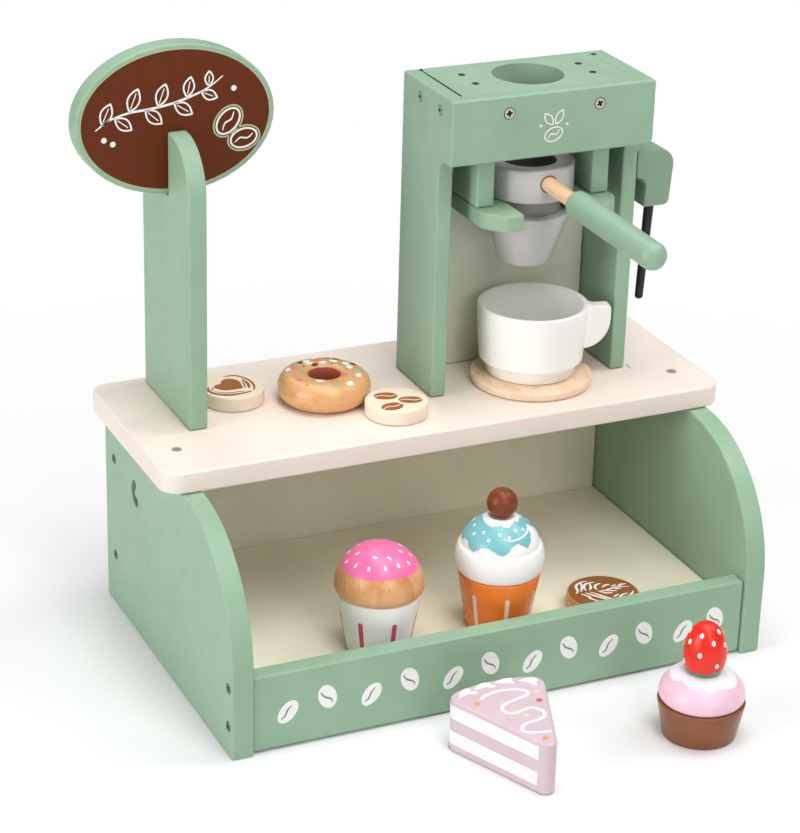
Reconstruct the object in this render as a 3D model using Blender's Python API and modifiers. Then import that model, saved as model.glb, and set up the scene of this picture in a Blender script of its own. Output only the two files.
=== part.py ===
"""Wooden toy coffee maker with its cafe counter, sign, cup and play food.

A low cabinet with a counter carries the coffee machine and an oval sign on a post.
The machine holds a turned portafilter in a fork, over a cup on its saucer.
Lengths are metres. The design frame starts at the lower front corner of the left side
panel, with +X to the right, +Y to the back and +Z up; the whole set hangs on one empty
that puts the origin under the middle of its bounding box.
"""
import math

import bmesh
import bpy
from mathutils import Matrix, Vector

# Fits, edges and smoothness
GAP = 0.0003
CUT_OVERRUN = 0.002
MERGE_DISTANCE = 0.00002
BOARD_EDGE = 0.0012
SOFT_EDGE = 0.0015
EDGE_SEGMENTS = 2
TURN_STEPS = 32
CORNER_STEPS = 5

# Cabinet
CABINET_WIDTH = 0.330
CABINET_DEPTH = 0.209
SIDE_THICKNESS = 0.0124
SIDE_HEIGHT = 0.1243
SIDE_FRONT_RADIUS = 0.075
SIDE_ARC_STEPS = 20
RAIL_RECESS = 0.0019
RAIL_THICKNESS = 0.011
RAIL_BOTTOM = 0.0014
RAIL_HEIGHT = 0.0456
FLOOR_THICKNESS = 0.0095
FLOOR_TOP = 0.0274
BACK_THICKNESS = 0.016
BACK_INSET = 0.009

# Crescent slot through the left side panel
SLOT_CENTRE_Y = 0.1547
SLOT_CENTRE_Z = 0.0902
SLOT_ARC_RADIUS = 0.0053
SLOT_WIDTH = 0.0056
SLOT_START = math.radians(-98)
SLOT_END = math.radians(60)
SLOT_ARC_STEPS = 8

# Counter
COUNTER_THICKNESS = 0.013
COUNTER_OVERHANG = 0.010
COUNTER_DEPTH = 0.133
COUNTER_CORNER_RADIUS = 0.012

# Coffee machine housing
MACHINE_LEFT = 0.1688
MACHINE_FRONT = 0.1044
MACHINE_WIDTH = 0.128
MACHINE_DEPTH = 0.0651
MACHINE_HEIGHT = 0.1828
MACHINE_SIDE_THICKNESS = 0.0095
MACHINE_BACK_THICKNESS = 0.0075
MACHINE_TOP_THICKNESS = 0.018
FRONT_BOARD_HEIGHT = 0.038
FRONT_BOARD_THICKNESS = 0.0065
FRONT_BOARD_CORNER_RADIUS = 0.0018
FRONT_BOARD_LOWER_RIGHT_RADIUS = 0.004
LEG_SETBACK = 0.0155
HOPPER_RADIUS = 0.0208
HOPPER_BEHIND_FRONT = 0.0352

# Horseshoe fork on its two hangers, which carries the portafilter
FORK_OPENING = 0.0407
FORK_ARM_WIDTH = 0.0217
FORK_RIGHT_ARM_EXTRA = 0.0020
FORK_THICKNESS = 0.010
FORK_TOP_BELOW_HEAD = 0.0297
FORK_FRONT_REACH = 0.0081
FORK_CHAMFER = 0.0112
FORK_CORNER_RADIUS = 0.010
FORK_CORNER_STEPS = 3
FORK_BEND_STEPS = 14
HANGER_THICKNESS = 0.011
HANGER_SETBACK = 0.0098

# Portafilter, turned about a vertical axis
PORTAFILTER_BEHIND_FRONT = 0.0291
PORTAFILTER_RING_RADIUS = 0.0265
PORTAFILTER_RING_HEIGHT = 0.0195
PORTAFILTER_NECK_CLEARANCE = 0.0008
PORTAFILTER_CONE_TOP_RADIUS = 0.0248
PORTAFILTER_CONE_BOTTOM_RADIUS = 0.0154
PORTAFILTER_CONE_HEIGHT = 0.0316
PORTAFILTER_BOWL_RADIUS = 0.019
PORTAFILTER_BOWL_DEPTH = 0.015
PORTAFILTER_EDGE = 0.0012
PORTAFILTER_TURN = math.radians(-0.8)
CONE_FOOT_ROUND = 0.0025

# Portafilter handle
DOWEL_RADIUS = 0.0044
DOWEL_ABOVE_RING_BOTTOM = 0.0118
DOWEL_SOCKET_DEPTH = 0.006
DOWEL_FREE_LENGTH = 0.0332
DOWEL_DEPTH_IN_GRIP = 0.035
GRIP_RADIUS = 0.0078
GRIP_LENGTH = 0.0957
GRIP_REAR_ROUND = 0.0035
GRIP_NOSE_LENGTH = 0.0068
GRIP_NOSE_STEPS = 6

# Steam wand: a hooked block that turns on a screw, and a rod that leans inwards
WAND_BLOCK_FRONT = 0.0156
WAND_BLOCK_DEPTH = 0.018
WAND_BLOCK_TOP_BELOW_MACHINE = 0.0477
WAND_BLOCK_HEIGHT = 0.0346
WAND_BLOCK_WIDTH = 0.0242
WAND_BLOCK_TAPER = 0.0016
WAND_BLOCK_SHOULDER_RADIUS = 0.010
WAND_BLOCK_TOE_RADIUS = 0.003
WAND_NOTCH_WIDTH = 0.0066
WAND_NOTCH_DRAFT = 0.0008
WAND_NOTCH_HEIGHT = 0.0182
WAND_NOTCH_ROUND = 0.006
WAND_PIVOT_BELOW_TOP = 0.0085
WAND_ROD_RADIUS = 0.0030
WAND_ROD_END_RADIUS = 0.0025
WAND_ROD_FREE_LENGTH = 0.0609
WAND_ROD_SOCKET_DEPTH = 0.010
WAND_ROD_LEAN = math.radians(2.7)
WAND_ROD_TIP = 0.001
PIVOT_RADIUS = 0.0019
PIVOT_DEPTH_IN_BLOCK = 0.009
PIVOT_HEAD_RADIUS = 0.0036
PIVOT_HEAD_HEIGHT = 0.0018

# Saucer and cup
SAUCER_X = 0.2368
SAUCER_Y = 0.1255
SAUCER_RADIUS = 0.0362
SAUCER_THICKNESS = 0.0050
SAUCER_EDGE = 0.0014
CUP_X = 0.2375
CUP_Y = 0.1284
CUP_HEIGHT = 0.0424
CUP_RIM_RADIUS = 0.0328
CUP_MIDDLE_RADIUS = 0.0318
CUP_MIDDLE_HEIGHT = 0.0225
CUP_BODY_FOOT_RADIUS = 0.0301
CUP_FOOT_RADIUS = 0.0265
CUP_FOOT_HEIGHT = 0.0068
CUP_SHOULDER_ROUND = 0.0022
CUP_WALL = 0.0032
CUP_FLOOR = 0.0048
CUP_INNER_ROUND = 0.004
EAR_THICKNESS = 0.0072
EAR_REACH = 0.0466
EAR_TOP_BELOW_RIM = 0.0031
EAR_HEIGHT = 0.0268
EAR_ROOT_SHARE = 0.8
EAR_CORNER_RADIUS = 0.002
EAR_SIDE_STRAIGHT = 0.009
EAR_TURN = math.radians(-15)

# Sign post and sign board
POST_X = 0.0230
POST_Y = 0.126
POST_THICKNESS = 0.0108
POST_WIDTH = 0.076
POST_HEIGHT = 0.1654
POST_SHOULDER_RADIUS = 0.029
POST_REAR_SHOULDER_RADIUS = 0.026
POST_SHOULDER_STEPS = 10
SIGN_WIDTH = 0.1154
SIGN_HEIGHT = 0.0848
SIGN_THICKNESS = 0.0123
SIGN_BEHIND_POST_FRONT = 0.0333
SIGN_SEAT_BELOW_POST_TOP = 0.0362
SIGN_STEPS = 48

# Wooden discs
DISC_THICKNESS = 0.0085
DISC_EDGE = 0.0008
HEART_DISC_RADIUS = 0.018
HEART_DISC_X = 0.0611
HEART_DISC_Y = 0.1582
BEAN_DISC_RADIUS = 0.0182
BEAN_DISC_X = 0.1413
BEAN_DISC_Y = 0.1072
FERN_DISC_RADIUS = 0.0213
FERN_DISC_X_SHARE = 0.742
FERN_DISC_Y = 0.0378

# Ring doughnut
DONUT_RADIUS = 0.027
DONUT_HOLE_RADIUS = 0.0087
DONUT_HEIGHT = 0.0172
DONUT_X = 0.1107
DONUT_Y = 0.141
DONUT_SECTION_STEPS = 14

# Tall cupcake cases, shared by the pink and the blue cupcake
CASE_TOP_RADIUS = 0.0237
CASE_BOTTOM_RADIUS = 0.0177
CASE_HEIGHT = 0.0352
CASE_EDGE = 0.001

# Pink cupcake
PINK_X_SHARE = 0.315
PINK_Y = 0.0432
PINK_DOME_RADIUS = 0.0254
PINK_DOME_SKIRT = 0.0036
PINK_DOME_HEIGHT = 0.0243
PINK_DOME_STEPS = 8

# Blue cupcake
BLUE_X_SHARE = 0.54
BLUE_Y = 0.0421
FROSTING_ROLL_RADIUS = 0.0255
FROSTING_ROLL_HEIGHT = 0.0166
FROSTING_GROOVE_RADIUS = 0.0222
FROSTING_CROWN_HEIGHT = 0.0168
FROSTING_TOP_RADIUS = 0.0078
FROSTING_STEPS = 6
BALL_RADIUS = 0.0088
BALL_SINK = 0.0012

# Strawberry cupcake
STRAWBERRY_CUPCAKE_X = 0.2503
STRAWBERRY_CUPCAKE_Y = -0.0672
LOW_CASE_TOP_RADIUS = 0.0244
LOW_CASE_BOTTOM_RADIUS = 0.0202
LOW_CASE_HEIGHT = 0.0218
ICING_RADIUS = 0.0239
ICING_SKIRT = 0.0032
ICING_CROWN_HEIGHT = 0.0133
ICING_TOP_RADIUS = 0.0085
ICING_STEPS = 6
STRAWBERRY_RADIUS = 0.0120
STRAWBERRY_BASE_RADIUS = 0.0075
STRAWBERRY_WIDEST_HEIGHT = 0.0115
STRAWBERRY_HEIGHT = 0.0300
STRAWBERRY_STEPS = 8

# Cake slice: a wedge with a round back and a blunt tip
CAKE_APEX_X = 0.1433
CAKE_APEX_Y = -0.103
CAKE_TURN = math.radians(1.0)
CAKE_HALF_ANGLE = math.radians(22.3)
CAKE_RADIUS = 0.081
CAKE_CORNER_RADIUS = 0.008
CAKE_TIP_RADIUS = 0.005
CAKE_HEIGHT = 0.0312
CAKE_EDGE = 0.0015
CAKE_BACK_STEPS = 14
CAKE_TIP_STEPS = 6

# Levels and faces that several pieces share
COUNTER_BOTTOM = SIDE_HEIGHT + GAP
COUNTER_TOP = COUNTER_BOTTOM + COUNTER_THICKNESS
COUNTER_LEFT = -COUNTER_OVERHANG
COUNTER_RIGHT = CABINET_WIDTH + COUNTER_OVERHANG
COUNTER_FRONT = CABINET_DEPTH - COUNTER_DEPTH
INNER_LEFT = SIDE_THICKNESS + GAP
INNER_RIGHT = CABINET_WIDTH - SIDE_THICKNESS - GAP
RAIL_BACK = RAIL_RECESS + RAIL_THICKNESS
BACK_REAR = CABINET_DEPTH - BACK_INSET
BACK_FRONT = BACK_REAR - BACK_THICKNESS
MACHINE_BASE = COUNTER_TOP + GAP
MACHINE_TOP = MACHINE_BASE + MACHINE_HEIGHT
MACHINE_REAR = MACHINE_FRONT + MACHINE_DEPTH
MACHINE_RIGHT = MACHINE_LEFT + MACHINE_WIDTH
MACHINE_MIDDLE = MACHINE_LEFT + MACHINE_WIDTH / 2
BAY_LEFT = MACHINE_LEFT + MACHINE_SIDE_THICKNESS
BAY_RIGHT = MACHINE_RIGHT - MACHINE_SIDE_THICKNESS
HEAD_BOTTOM = MACHINE_TOP - FRONT_BOARD_HEIGHT
HEAD_INNER_FRONT = MACHINE_FRONT + FRONT_BOARD_THICKNESS + GAP
TOP_BOARD_BOTTOM = MACHINE_TOP - MACHINE_TOP_THICKNESS
MACHINE_BACK_FRONT = MACHINE_REAR - MACHINE_BACK_THICKNESS
FORK_TOP = HEAD_BOTTOM - FORK_TOP_BELOW_HEAD
FORK_BOTTOM = FORK_TOP - FORK_THICKNESS
FORK_FRONT = MACHINE_FRONT - FORK_FRONT_REACH
FORK_REAR = MACHINE_BACK_FRONT - GAP
FORK_HALF_OPENING = FORK_OPENING / 2
FORK_OUTER = FORK_HALF_OPENING + FORK_ARM_WIDTH
PORTAFILTER_Y = MACHINE_FRONT + PORTAFILTER_BEHIND_FRONT
PORTAFILTER_RING_BOTTOM = FORK_TOP + GAP
PORTAFILTER_RING_TOP = PORTAFILTER_RING_BOTTOM + PORTAFILTER_RING_HEIGHT
PORTAFILTER_CONE_TOP = FORK_BOTTOM - GAP
PORTAFILTER_CONE_BOTTOM = PORTAFILTER_CONE_TOP - PORTAFILTER_CONE_HEIGHT
DOWEL_HEIGHT = PORTAFILTER_RING_BOTTOM + DOWEL_ABOVE_RING_BOTTOM
WAND_LEFT = MACHINE_RIGHT + GAP
WAND_TOP = MACHINE_TOP - WAND_BLOCK_TOP_BELOW_MACHINE
WAND_BOTTOM = WAND_TOP - WAND_BLOCK_HEIGHT
WAND_FRONT = MACHINE_FRONT + WAND_BLOCK_FRONT
WAND_MIDDLE_Y = WAND_FRONT + WAND_BLOCK_DEPTH / 2
WAND_PIVOT_Z = WAND_TOP - WAND_PIVOT_BELOW_TOP
WAND_ROD_X = WAND_LEFT + (WAND_NOTCH_WIDTH + WAND_BLOCK_WIDTH - WAND_BLOCK_TAPER) / 2
SAUCER_BOTTOM = COUNTER_TOP + GAP
SAUCER_TOP = SAUCER_BOTTOM + SAUCER_THICKNESS
CUP_BOTTOM = SAUCER_TOP + GAP
POST_BOTTOM = COUNTER_TOP + GAP
POST_TOP = POST_BOTTOM + POST_HEIGHT
POST_MIDDLE_X = POST_X + POST_THICKNESS / 2
SIGN_BOTTOM = POST_TOP - SIGN_SEAT_BELOW_POST_TOP
SIGN_MIDDLE_Z = SIGN_BOTTOM + SIGN_HEIGHT / 2
SIGN_MIDDLE_Y = POST_Y + SIGN_BEHIND_POST_FRONT + SIGN_THICKNESS / 2
SIGN_LEFT = POST_MIDDLE_X - SIGN_WIDTH / 2
SHELF = FLOOR_TOP + GAP
PINK_X = CABINET_WIDTH * PINK_X_SHARE
BLUE_X = CABINET_WIDTH * BLUE_X_SHARE
FERN_DISC_X = CABINET_WIDTH * FERN_DISC_X_SHARE
CAKE_TIP_DISTANCE = CAKE_TIP_RADIUS / math.sin(CAKE_HALF_ANGLE)
CAKE_FRONT = CAKE_APEX_Y + CAKE_TIP_DISTANCE * math.cos(CAKE_TURN) - CAKE_TIP_RADIUS

# Origin of the part, in the design frame
ORIGIN_X = (SIGN_LEFT + COUNTER_RIGHT) / 2
ORIGIN_Y = (CAKE_FRONT + CABINET_DEPTH) / 2

# Colours, roughness last
GREEN_PAINT = (0.30, 0.50, 0.36, 0.45)
CREAM_PAINT = (0.86, 0.80, 0.70, 0.45)
GREY_PAINT = (0.45, 0.44, 0.43, 0.40)
WHITE_GLOSS = (0.88, 0.87, 0.86, 0.18)
BEECH = (0.72, 0.47, 0.27, 0.45)
DISC_CREAM = (0.80, 0.72, 0.60, 0.50)
BLACK_PAINT = (0.02, 0.02, 0.02, 0.35)
STEEL = (0.55, 0.55, 0.53, 0.30)
CASE_WHITE = (0.75, 0.77, 0.78, 0.30)
CASE_ORANGE = (0.75, 0.22, 0.03, 0.30)
CASE_BROWN = (0.28, 0.11, 0.05, 0.35)
CHOCOLATE = (0.22, 0.07, 0.03, 0.25)
FROSTING_WHITE = (0.85, 0.84, 0.84, 0.30)
ICING_PINK = (0.85, 0.55, 0.68, 0.30)
STRAWBERRY_RED = (0.80, 0.04, 0.03, 0.22)
CAKE_PINK = (0.75, 0.52, 0.60, 0.40)

# Planes that an outline can be drawn in, as rotations of the XY plane
PLAN = (0.0, 0.0, 0.0)
FRONT_VIEW = (math.pi / 2, 0.0, 0.0)
SIDE_VIEW = (math.pi / 2, 0.0, math.pi / 2)
ALONG_X = (0.0, math.pi / 2, 0.0)


def clear_scene():
    """Remove what an opened scene holds."""
    for obj in list(bpy.data.objects):
        bpy.data.objects.remove(obj, do_unlink=True)


def new_collection(name):
    collection = bpy.data.collections.new(name)
    bpy.context.scene.collection.children.link(collection)
    return collection


def arc(centre, radius, start, end, steps):
    """Points of an arc about a centre, both ends included."""
    points = []
    for step in range(steps + 1):
        angle = start + (end - start) * step / steps
        points.append((centre[0] + radius * math.cos(angle), centre[1] + radius * math.sin(angle)))
    return points


def rounded_rectangle(low, high, radius):
    """Outline of a rectangle between two corners, with round corners."""
    quarter = math.pi / 2
    centres = (
        (high[0] - radius, high[1] - radius),
        (low[0] + radius, high[1] - radius),
        (low[0] + radius, low[1] + radius),
        (high[0] - radius, low[1] + radius),
    )
    points = []
    for turn, centre in enumerate(centres):
        points += arc(centre, radius, turn * quarter, (turn + 1) * quarter, CORNER_STEPS)
    return points


class Workshop:
    """Makes the pieces and keeps the collections and the origin that they share."""

    def __init__(self):
        self.parts = new_collection("toy_coffee_maker")
        self.cutters = new_collection("cutters")
        self.frame = bpy.data.objects.new("set_frame", None)
        self.frame.location = (-ORIGIN_X, -ORIGIN_Y, 0.0)
        self.parts.objects.link(self.frame)

    def place(self, obj, location, rotation=PLAN):
        for collection in list(obj.users_collection):
            collection.objects.unlink(obj)
        self.parts.objects.link(obj)
        obj.parent = self.frame
        obj.location = location
        obj.rotation_euler = rotation
        return obj

    def paint(self, obj, look):
        """Give the object its own Principled material."""
        material = bpy.data.materials.new(obj.name + "_finish")
        material.use_nodes = True
        shader = material.node_tree.nodes["Principled BSDF"]
        shader.inputs["Base Color"].default_value = (*look[:3], 1.0)
        shader.inputs["Roughness"].default_value = look[3]
        shader.inputs["Metallic"].default_value = float(look == STEEL)
        obj.data.materials.clear()
        obj.data.materials.append(material)

    def round_edges(self, obj, width, segments=EDGE_SEGMENTS):
        bevel = obj.modifiers.new("round_edges", "BEVEL")
        bevel.width = width
        bevel.segments = segments
        bevel.limit_method = "ANGLE"
        bevel.angle_limit = math.radians(35)

    def board(self, name, low, high, look, edge=BOARD_EDGE):
        """A flat board between two opposite corners."""
        low = Vector(low)
        high = Vector(high)
        bpy.ops.mesh.primitive_cube_add(size=1.0)
        obj = bpy.context.active_object
        obj.name = name
        obj.data.name = name
        obj.data.transform(Matrix.Diagonal((*(high - low), 1.0)))
        self.place(obj, (low + high) / 2)
        self.round_edges(obj, edge)
        self.paint(obj, look)
        return obj

    def outline_mesh(self, name, outline, thickness):
        """Mesh of a flat outline, extruded evenly to both sides of its plane."""
        curve = bpy.data.curves.new(name + "_outline", "CURVE")
        curve.dimensions = "2D"
        curve.fill_mode = "BOTH"
        curve.extrude = thickness / 2
        spline = curve.splines.new("POLY")
        spline.points.add(len(outline) - 1)
        for point, place in zip(spline.points, outline):
            point.co = (place[0], place[1], 0.0, 1.0)
        spline.use_cyclic_u = True
        holder = bpy.data.objects.new(name + "_outline", curve)
        self.parts.objects.link(holder)
        depsgraph = bpy.context.evaluated_depsgraph_get()
        mesh = bpy.data.meshes.new_from_object(holder.evaluated_get(depsgraph))
        bpy.data.objects.remove(holder, do_unlink=True)
        bpy.data.curves.remove(curve)
        mesh.name = name
        shape = bmesh.new()
        shape.from_mesh(mesh)
        bmesh.ops.remove_doubles(shape, verts=shape.verts, dist=MERGE_DISTANCE)
        bmesh.ops.dissolve_limit(shape, angle_limit=math.radians(0.5), verts=shape.verts,
                                 edges=shape.edges)
        bmesh.ops.recalc_face_normals(shape, faces=shape.faces)
        shape.to_mesh(mesh)
        shape.free()
        return mesh

    def outline_piece(self, name, outline, thickness, middle, view, look, edge=BOARD_EDGE):
        """A piece sawn from a board, its outline drawn in one of the three views."""
        obj = bpy.data.objects.new(name, self.outline_mesh(name, outline, thickness))
        self.place(obj, middle, view)
        if edge:
            self.round_edges(obj, edge)
        self.paint(obj, look)
        return obj

    def turned_mesh(self, name, profile):
        """Open profile of a turned piece, from its upper end down the outside."""
        mesh = bpy.data.meshes.new(name)
        shape = bmesh.new()
        verts = [shape.verts.new((radius, 0.0, height)) for radius, height in profile]
        for first, second in zip(verts, verts[1:]):
            shape.edges.new((first, second))
        if profile[0][0] > 0.0:
            shape.edges.new((verts[-1], verts[0]))
        shape.to_mesh(mesh)
        shape.free()
        return mesh

    def add_turning(self, obj, steps=TURN_STEPS):
        turning = obj.modifiers.new("turning", "SCREW")
        turning.axis = "Z"
        turning.angle = math.tau
        turning.steps = steps
        turning.render_steps = steps
        turning.use_merge_vertices = True
        turning.merge_threshold = MERGE_DISTANCE
        turning.use_smooth_shade = True

    def turned_piece(self, name, profile, location, look, rotation=PLAN, steps=TURN_STEPS):
        """A lathe-turned piece: a profile of (radius, height) spun about the vertical axis."""
        obj = bpy.data.objects.new(name, self.turned_mesh(name, profile))
        self.place(obj, location, rotation)
        self.add_turning(obj, steps)
        self.paint(obj, look)
        return obj

    def as_cutter(self, obj):
        for collection in list(obj.users_collection):
            collection.objects.unlink(obj)
        self.cutters.objects.link(obj)
        obj.hide_render = True
        obj.display_type = "WIRE"
        return obj

    def rod_cutter(self, name, radius, length, middle, rotation=PLAN, steps=TURN_STEPS):
        bpy.ops.mesh.primitive_cylinder_add(vertices=steps, radius=radius, depth=length)
        obj = bpy.context.active_object
        obj.name = name
        self.place(obj, middle, rotation)
        return self.as_cutter(obj)

    def cut(self, obj, cutter, operation="DIFFERENCE"):
        boolean = obj.modifiers.new(operation.lower() + "_" + cutter.name, "BOOLEAN")
        boolean.operation = operation
        boolean.solver = "EXACT"
        boolean.object = cutter
        return boolean


def side_outline():
    """Side panel in side view: a quarter round falls from the counter to the front."""
    centre = (SIDE_FRONT_RADIUS, SIDE_HEIGHT - SIDE_FRONT_RADIUS)
    front = arc(centre, SIDE_FRONT_RADIUS, math.pi / 2, math.pi, SIDE_ARC_STEPS)
    return [(CABINET_DEPTH, 0.0), (CABINET_DEPTH, SIDE_HEIGHT)] + front + [(0.0, 0.0)]


def crescent_outline():
    """Curved slot with round ends, in side view."""
    centre = (SLOT_CENTRE_Y, SLOT_CENTRE_Z)
    half = SLOT_WIDTH / 2
    outer = arc(centre, SLOT_ARC_RADIUS + half, SLOT_START, SLOT_END, SLOT_ARC_STEPS)
    end = arc(centre, SLOT_ARC_RADIUS, SLOT_END, SLOT_END, 1)[0]
    end_round = arc(end, half, SLOT_END, SLOT_END + math.pi, CORNER_STEPS)
    inner = arc(centre, SLOT_ARC_RADIUS - half, SLOT_END, SLOT_START, SLOT_ARC_STEPS)
    start = arc(centre, SLOT_ARC_RADIUS, SLOT_START, SLOT_START, 1)[0]
    start_round = arc(start, half, SLOT_START + math.pi, SLOT_START + math.tau, CORNER_STEPS)
    return outer + end_round[1:-1] + inner + start_round[1:-1]


def make_cabinet(shop):
    left = shop.outline_piece("left_side_panel", side_outline(), SIDE_THICKNESS,
                              (SIDE_THICKNESS / 2, 0.0, 0.0), SIDE_VIEW, GREEN_PAINT, edge=0.0)
    slot_length = SIDE_THICKNESS + 2 * CUT_OVERRUN
    slot_mesh = shop.outline_mesh("crescent_slot", crescent_outline(), slot_length)
    slot = bpy.data.objects.new("crescent_slot", slot_mesh)
    shop.place(slot, (SIDE_THICKNESS / 2, 0.0, 0.0), SIDE_VIEW)
    shop.cut(left, shop.as_cutter(slot))
    shop.round_edges(left, BOARD_EDGE)
    right_middle = (CABINET_WIDTH - SIDE_THICKNESS / 2, 0.0, 0.0)
    shop.outline_piece("right_side_panel", side_outline(), SIDE_THICKNESS, right_middle,
                       SIDE_VIEW, GREEN_PAINT)
    shop.board("front_rail",
               (INNER_LEFT, RAIL_RECESS, RAIL_BOTTOM),
               (INNER_RIGHT, RAIL_BACK, RAIL_BOTTOM + RAIL_HEIGHT), GREEN_PAINT)
    shop.board("floor_board",
               (INNER_LEFT, RAIL_BACK + GAP, FLOOR_TOP - FLOOR_THICKNESS),
               (INNER_RIGHT, BACK_FRONT - GAP, FLOOR_TOP), CREAM_PAINT)
    shop.board("back_panel",
               (INNER_LEFT, BACK_FRONT, RAIL_BOTTOM),
               (INNER_RIGHT, BACK_REAR, SIDE_HEIGHT), CREAM_PAINT)
    counter = rounded_rectangle((COUNTER_LEFT, COUNTER_FRONT), (COUNTER_RIGHT, CABINET_DEPTH),
                                COUNTER_CORNER_RADIUS)
    shop.outline_piece("counter_top", counter, COUNTER_THICKNESS,
                       (0.0, 0.0, COUNTER_BOTTOM + COUNTER_THICKNESS / 2), PLAN, CREAM_PAINT,
                       edge=SOFT_EDGE)


def machine_side_outline():
    """Machine side in side view: the leg stands back and a cove leads up to the head."""
    leg_front = MACHINE_FRONT + LEG_SETBACK
    cove_radius = leg_front - HEAD_INNER_FRONT
    cove_bottom = HEAD_BOTTOM - cove_radius
    cove = arc((HEAD_INNER_FRONT, cove_bottom), cove_radius, 0.0, math.pi / 2, CORNER_STEPS)
    outline = [(MACHINE_REAR, MACHINE_BASE), (MACHINE_REAR, MACHINE_TOP)]
    outline += [(HEAD_INNER_FRONT, MACHINE_TOP)]
    outline += list(reversed(cove))
    outline += [(leg_front, MACHINE_BASE)]
    return outline


def front_board_outline():
    """Front board in front view: its lower right corner is rounder than the others."""
    small, large = FRONT_BOARD_CORNER_RADIUS, FRONT_BOARD_LOWER_RIGHT_RADIUS
    corners = (((MACHINE_RIGHT - small, MACHINE_TOP - small), small, 0.0),
               ((MACHINE_LEFT + small, MACHINE_TOP - small), small, math.pi / 2),
               ((MACHINE_LEFT + small, HEAD_BOTTOM + small), small, math.pi),
               ((MACHINE_RIGHT - large, HEAD_BOTTOM + large), large, math.pi * 3 / 2))
    outline = []
    for middle, radius, start in corners:
        outline += arc(middle, radius, start, start + math.pi / 2, CORNER_STEPS)
    return outline


def make_machine(shop):
    half = MACHINE_SIDE_THICKNESS / 2
    shop.outline_piece("machine_left_side", machine_side_outline(), MACHINE_SIDE_THICKNESS,
                       (MACHINE_LEFT + half, 0.0, 0.0), SIDE_VIEW, GREEN_PAINT)
    right = shop.outline_piece("machine_right_side", machine_side_outline(),
                               MACHINE_SIDE_THICKNESS, (MACHINE_RIGHT - half, 0.0, 0.0),
                               SIDE_VIEW, GREEN_PAINT)
    pivot_hole = shop.rod_cutter("pivot_hole", PIVOT_RADIUS + GAP,
                                 MACHINE_SIDE_THICKNESS + 2 * CUT_OVERRUN,
                                 (MACHINE_RIGHT - half, WAND_MIDDLE_Y, WAND_PIVOT_Z), ALONG_X,
                                 steps=TURN_STEPS // 2)
    shop.cut(right, pivot_hole)
    shop.board("machine_back_panel",
               (BAY_LEFT + GAP, MACHINE_BACK_FRONT, MACHINE_BASE),
               (BAY_RIGHT - GAP, MACHINE_REAR, TOP_BOARD_BOTTOM - GAP), CREAM_PAINT)
    top = shop.board("machine_top_board",
                     (BAY_LEFT + GAP, HEAD_INNER_FRONT, TOP_BOARD_BOTTOM),
                     (BAY_RIGHT - GAP, MACHINE_REAR, MACHINE_TOP), GREEN_PAINT)
    hole_middle = (MACHINE_MIDDLE, MACHINE_FRONT + HOPPER_BEHIND_FRONT,
                   MACHINE_TOP - MACHINE_TOP_THICKNESS / 2)
    hole = shop.rod_cutter("hopper_hole", HOPPER_RADIUS, MACHINE_TOP_THICKNESS + 2 * CUT_OVERRUN,
                           hole_middle)
    shop.cut(top, hole)
    shop.outline_piece("machine_front_board", front_board_outline(), FRONT_BOARD_THICKNESS,
                       (0.0, MACHINE_FRONT + FRONT_BOARD_THICKNESS / 2, 0.0), FRONT_VIEW,
                       GREEN_PAINT)


def fork_outline():
    """Horseshoe fork in plan: chamfered tips and a half round about the portafilter's axis."""
    left = MACHINE_MIDDLE - FORK_OUTER
    right = MACHINE_MIDDLE + FORK_OUTER + FORK_RIGHT_ARM_EXTRA
    bend = arc((MACHINE_MIDDLE, PORTAFILTER_Y), FORK_HALF_OPENING, 0.0, math.pi, FORK_BEND_STEPS)
    eighth = math.pi / 4
    round_y = FORK_FRONT + FORK_CHAMFER + FORK_CORNER_RADIUS * math.tan(eighth / 2)
    right_tip = arc((right - FORK_CORNER_RADIUS, round_y), FORK_CORNER_RADIUS,
                    0.0, -eighth, FORK_CORNER_STEPS) + [(right - FORK_CHAMFER, FORK_FRONT)]
    left_tip = [(left + FORK_CHAMFER, FORK_FRONT)] + arc(
        (left + FORK_CORNER_RADIUS, round_y), FORK_CORNER_RADIUS,
        math.pi + eighth, math.pi, FORK_CORNER_STEPS)
    outline = [(left, FORK_REAR), (right, FORK_REAR)] + right_tip
    outline += [(MACHINE_MIDDLE + FORK_HALF_OPENING, FORK_FRONT)] + bend
    return outline + [(MACHINE_MIDDLE - FORK_HALF_OPENING, FORK_FRONT)] + left_tip


def make_fork(shop):
    for side, name in ((-1, "left_hanger"), (1, "right_hanger")):
        outer = MACHINE_MIDDLE + side * FORK_OUTER
        inner = outer - side * HANGER_THICKNESS
        shop.board(name,
                   (min(inner, outer), MACHINE_FRONT + HANGER_SETBACK, FORK_TOP + GAP),
                   (max(inner, outer), FORK_REAR, TOP_BOARD_BOTTOM - GAP), GREEN_PAINT)
    shop.outline_piece("fork_plate", fork_outline(), FORK_THICKNESS,
                       (0.0, 0.0, FORK_TOP - FORK_THICKNESS / 2), PLAN, GREEN_PAINT)


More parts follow.
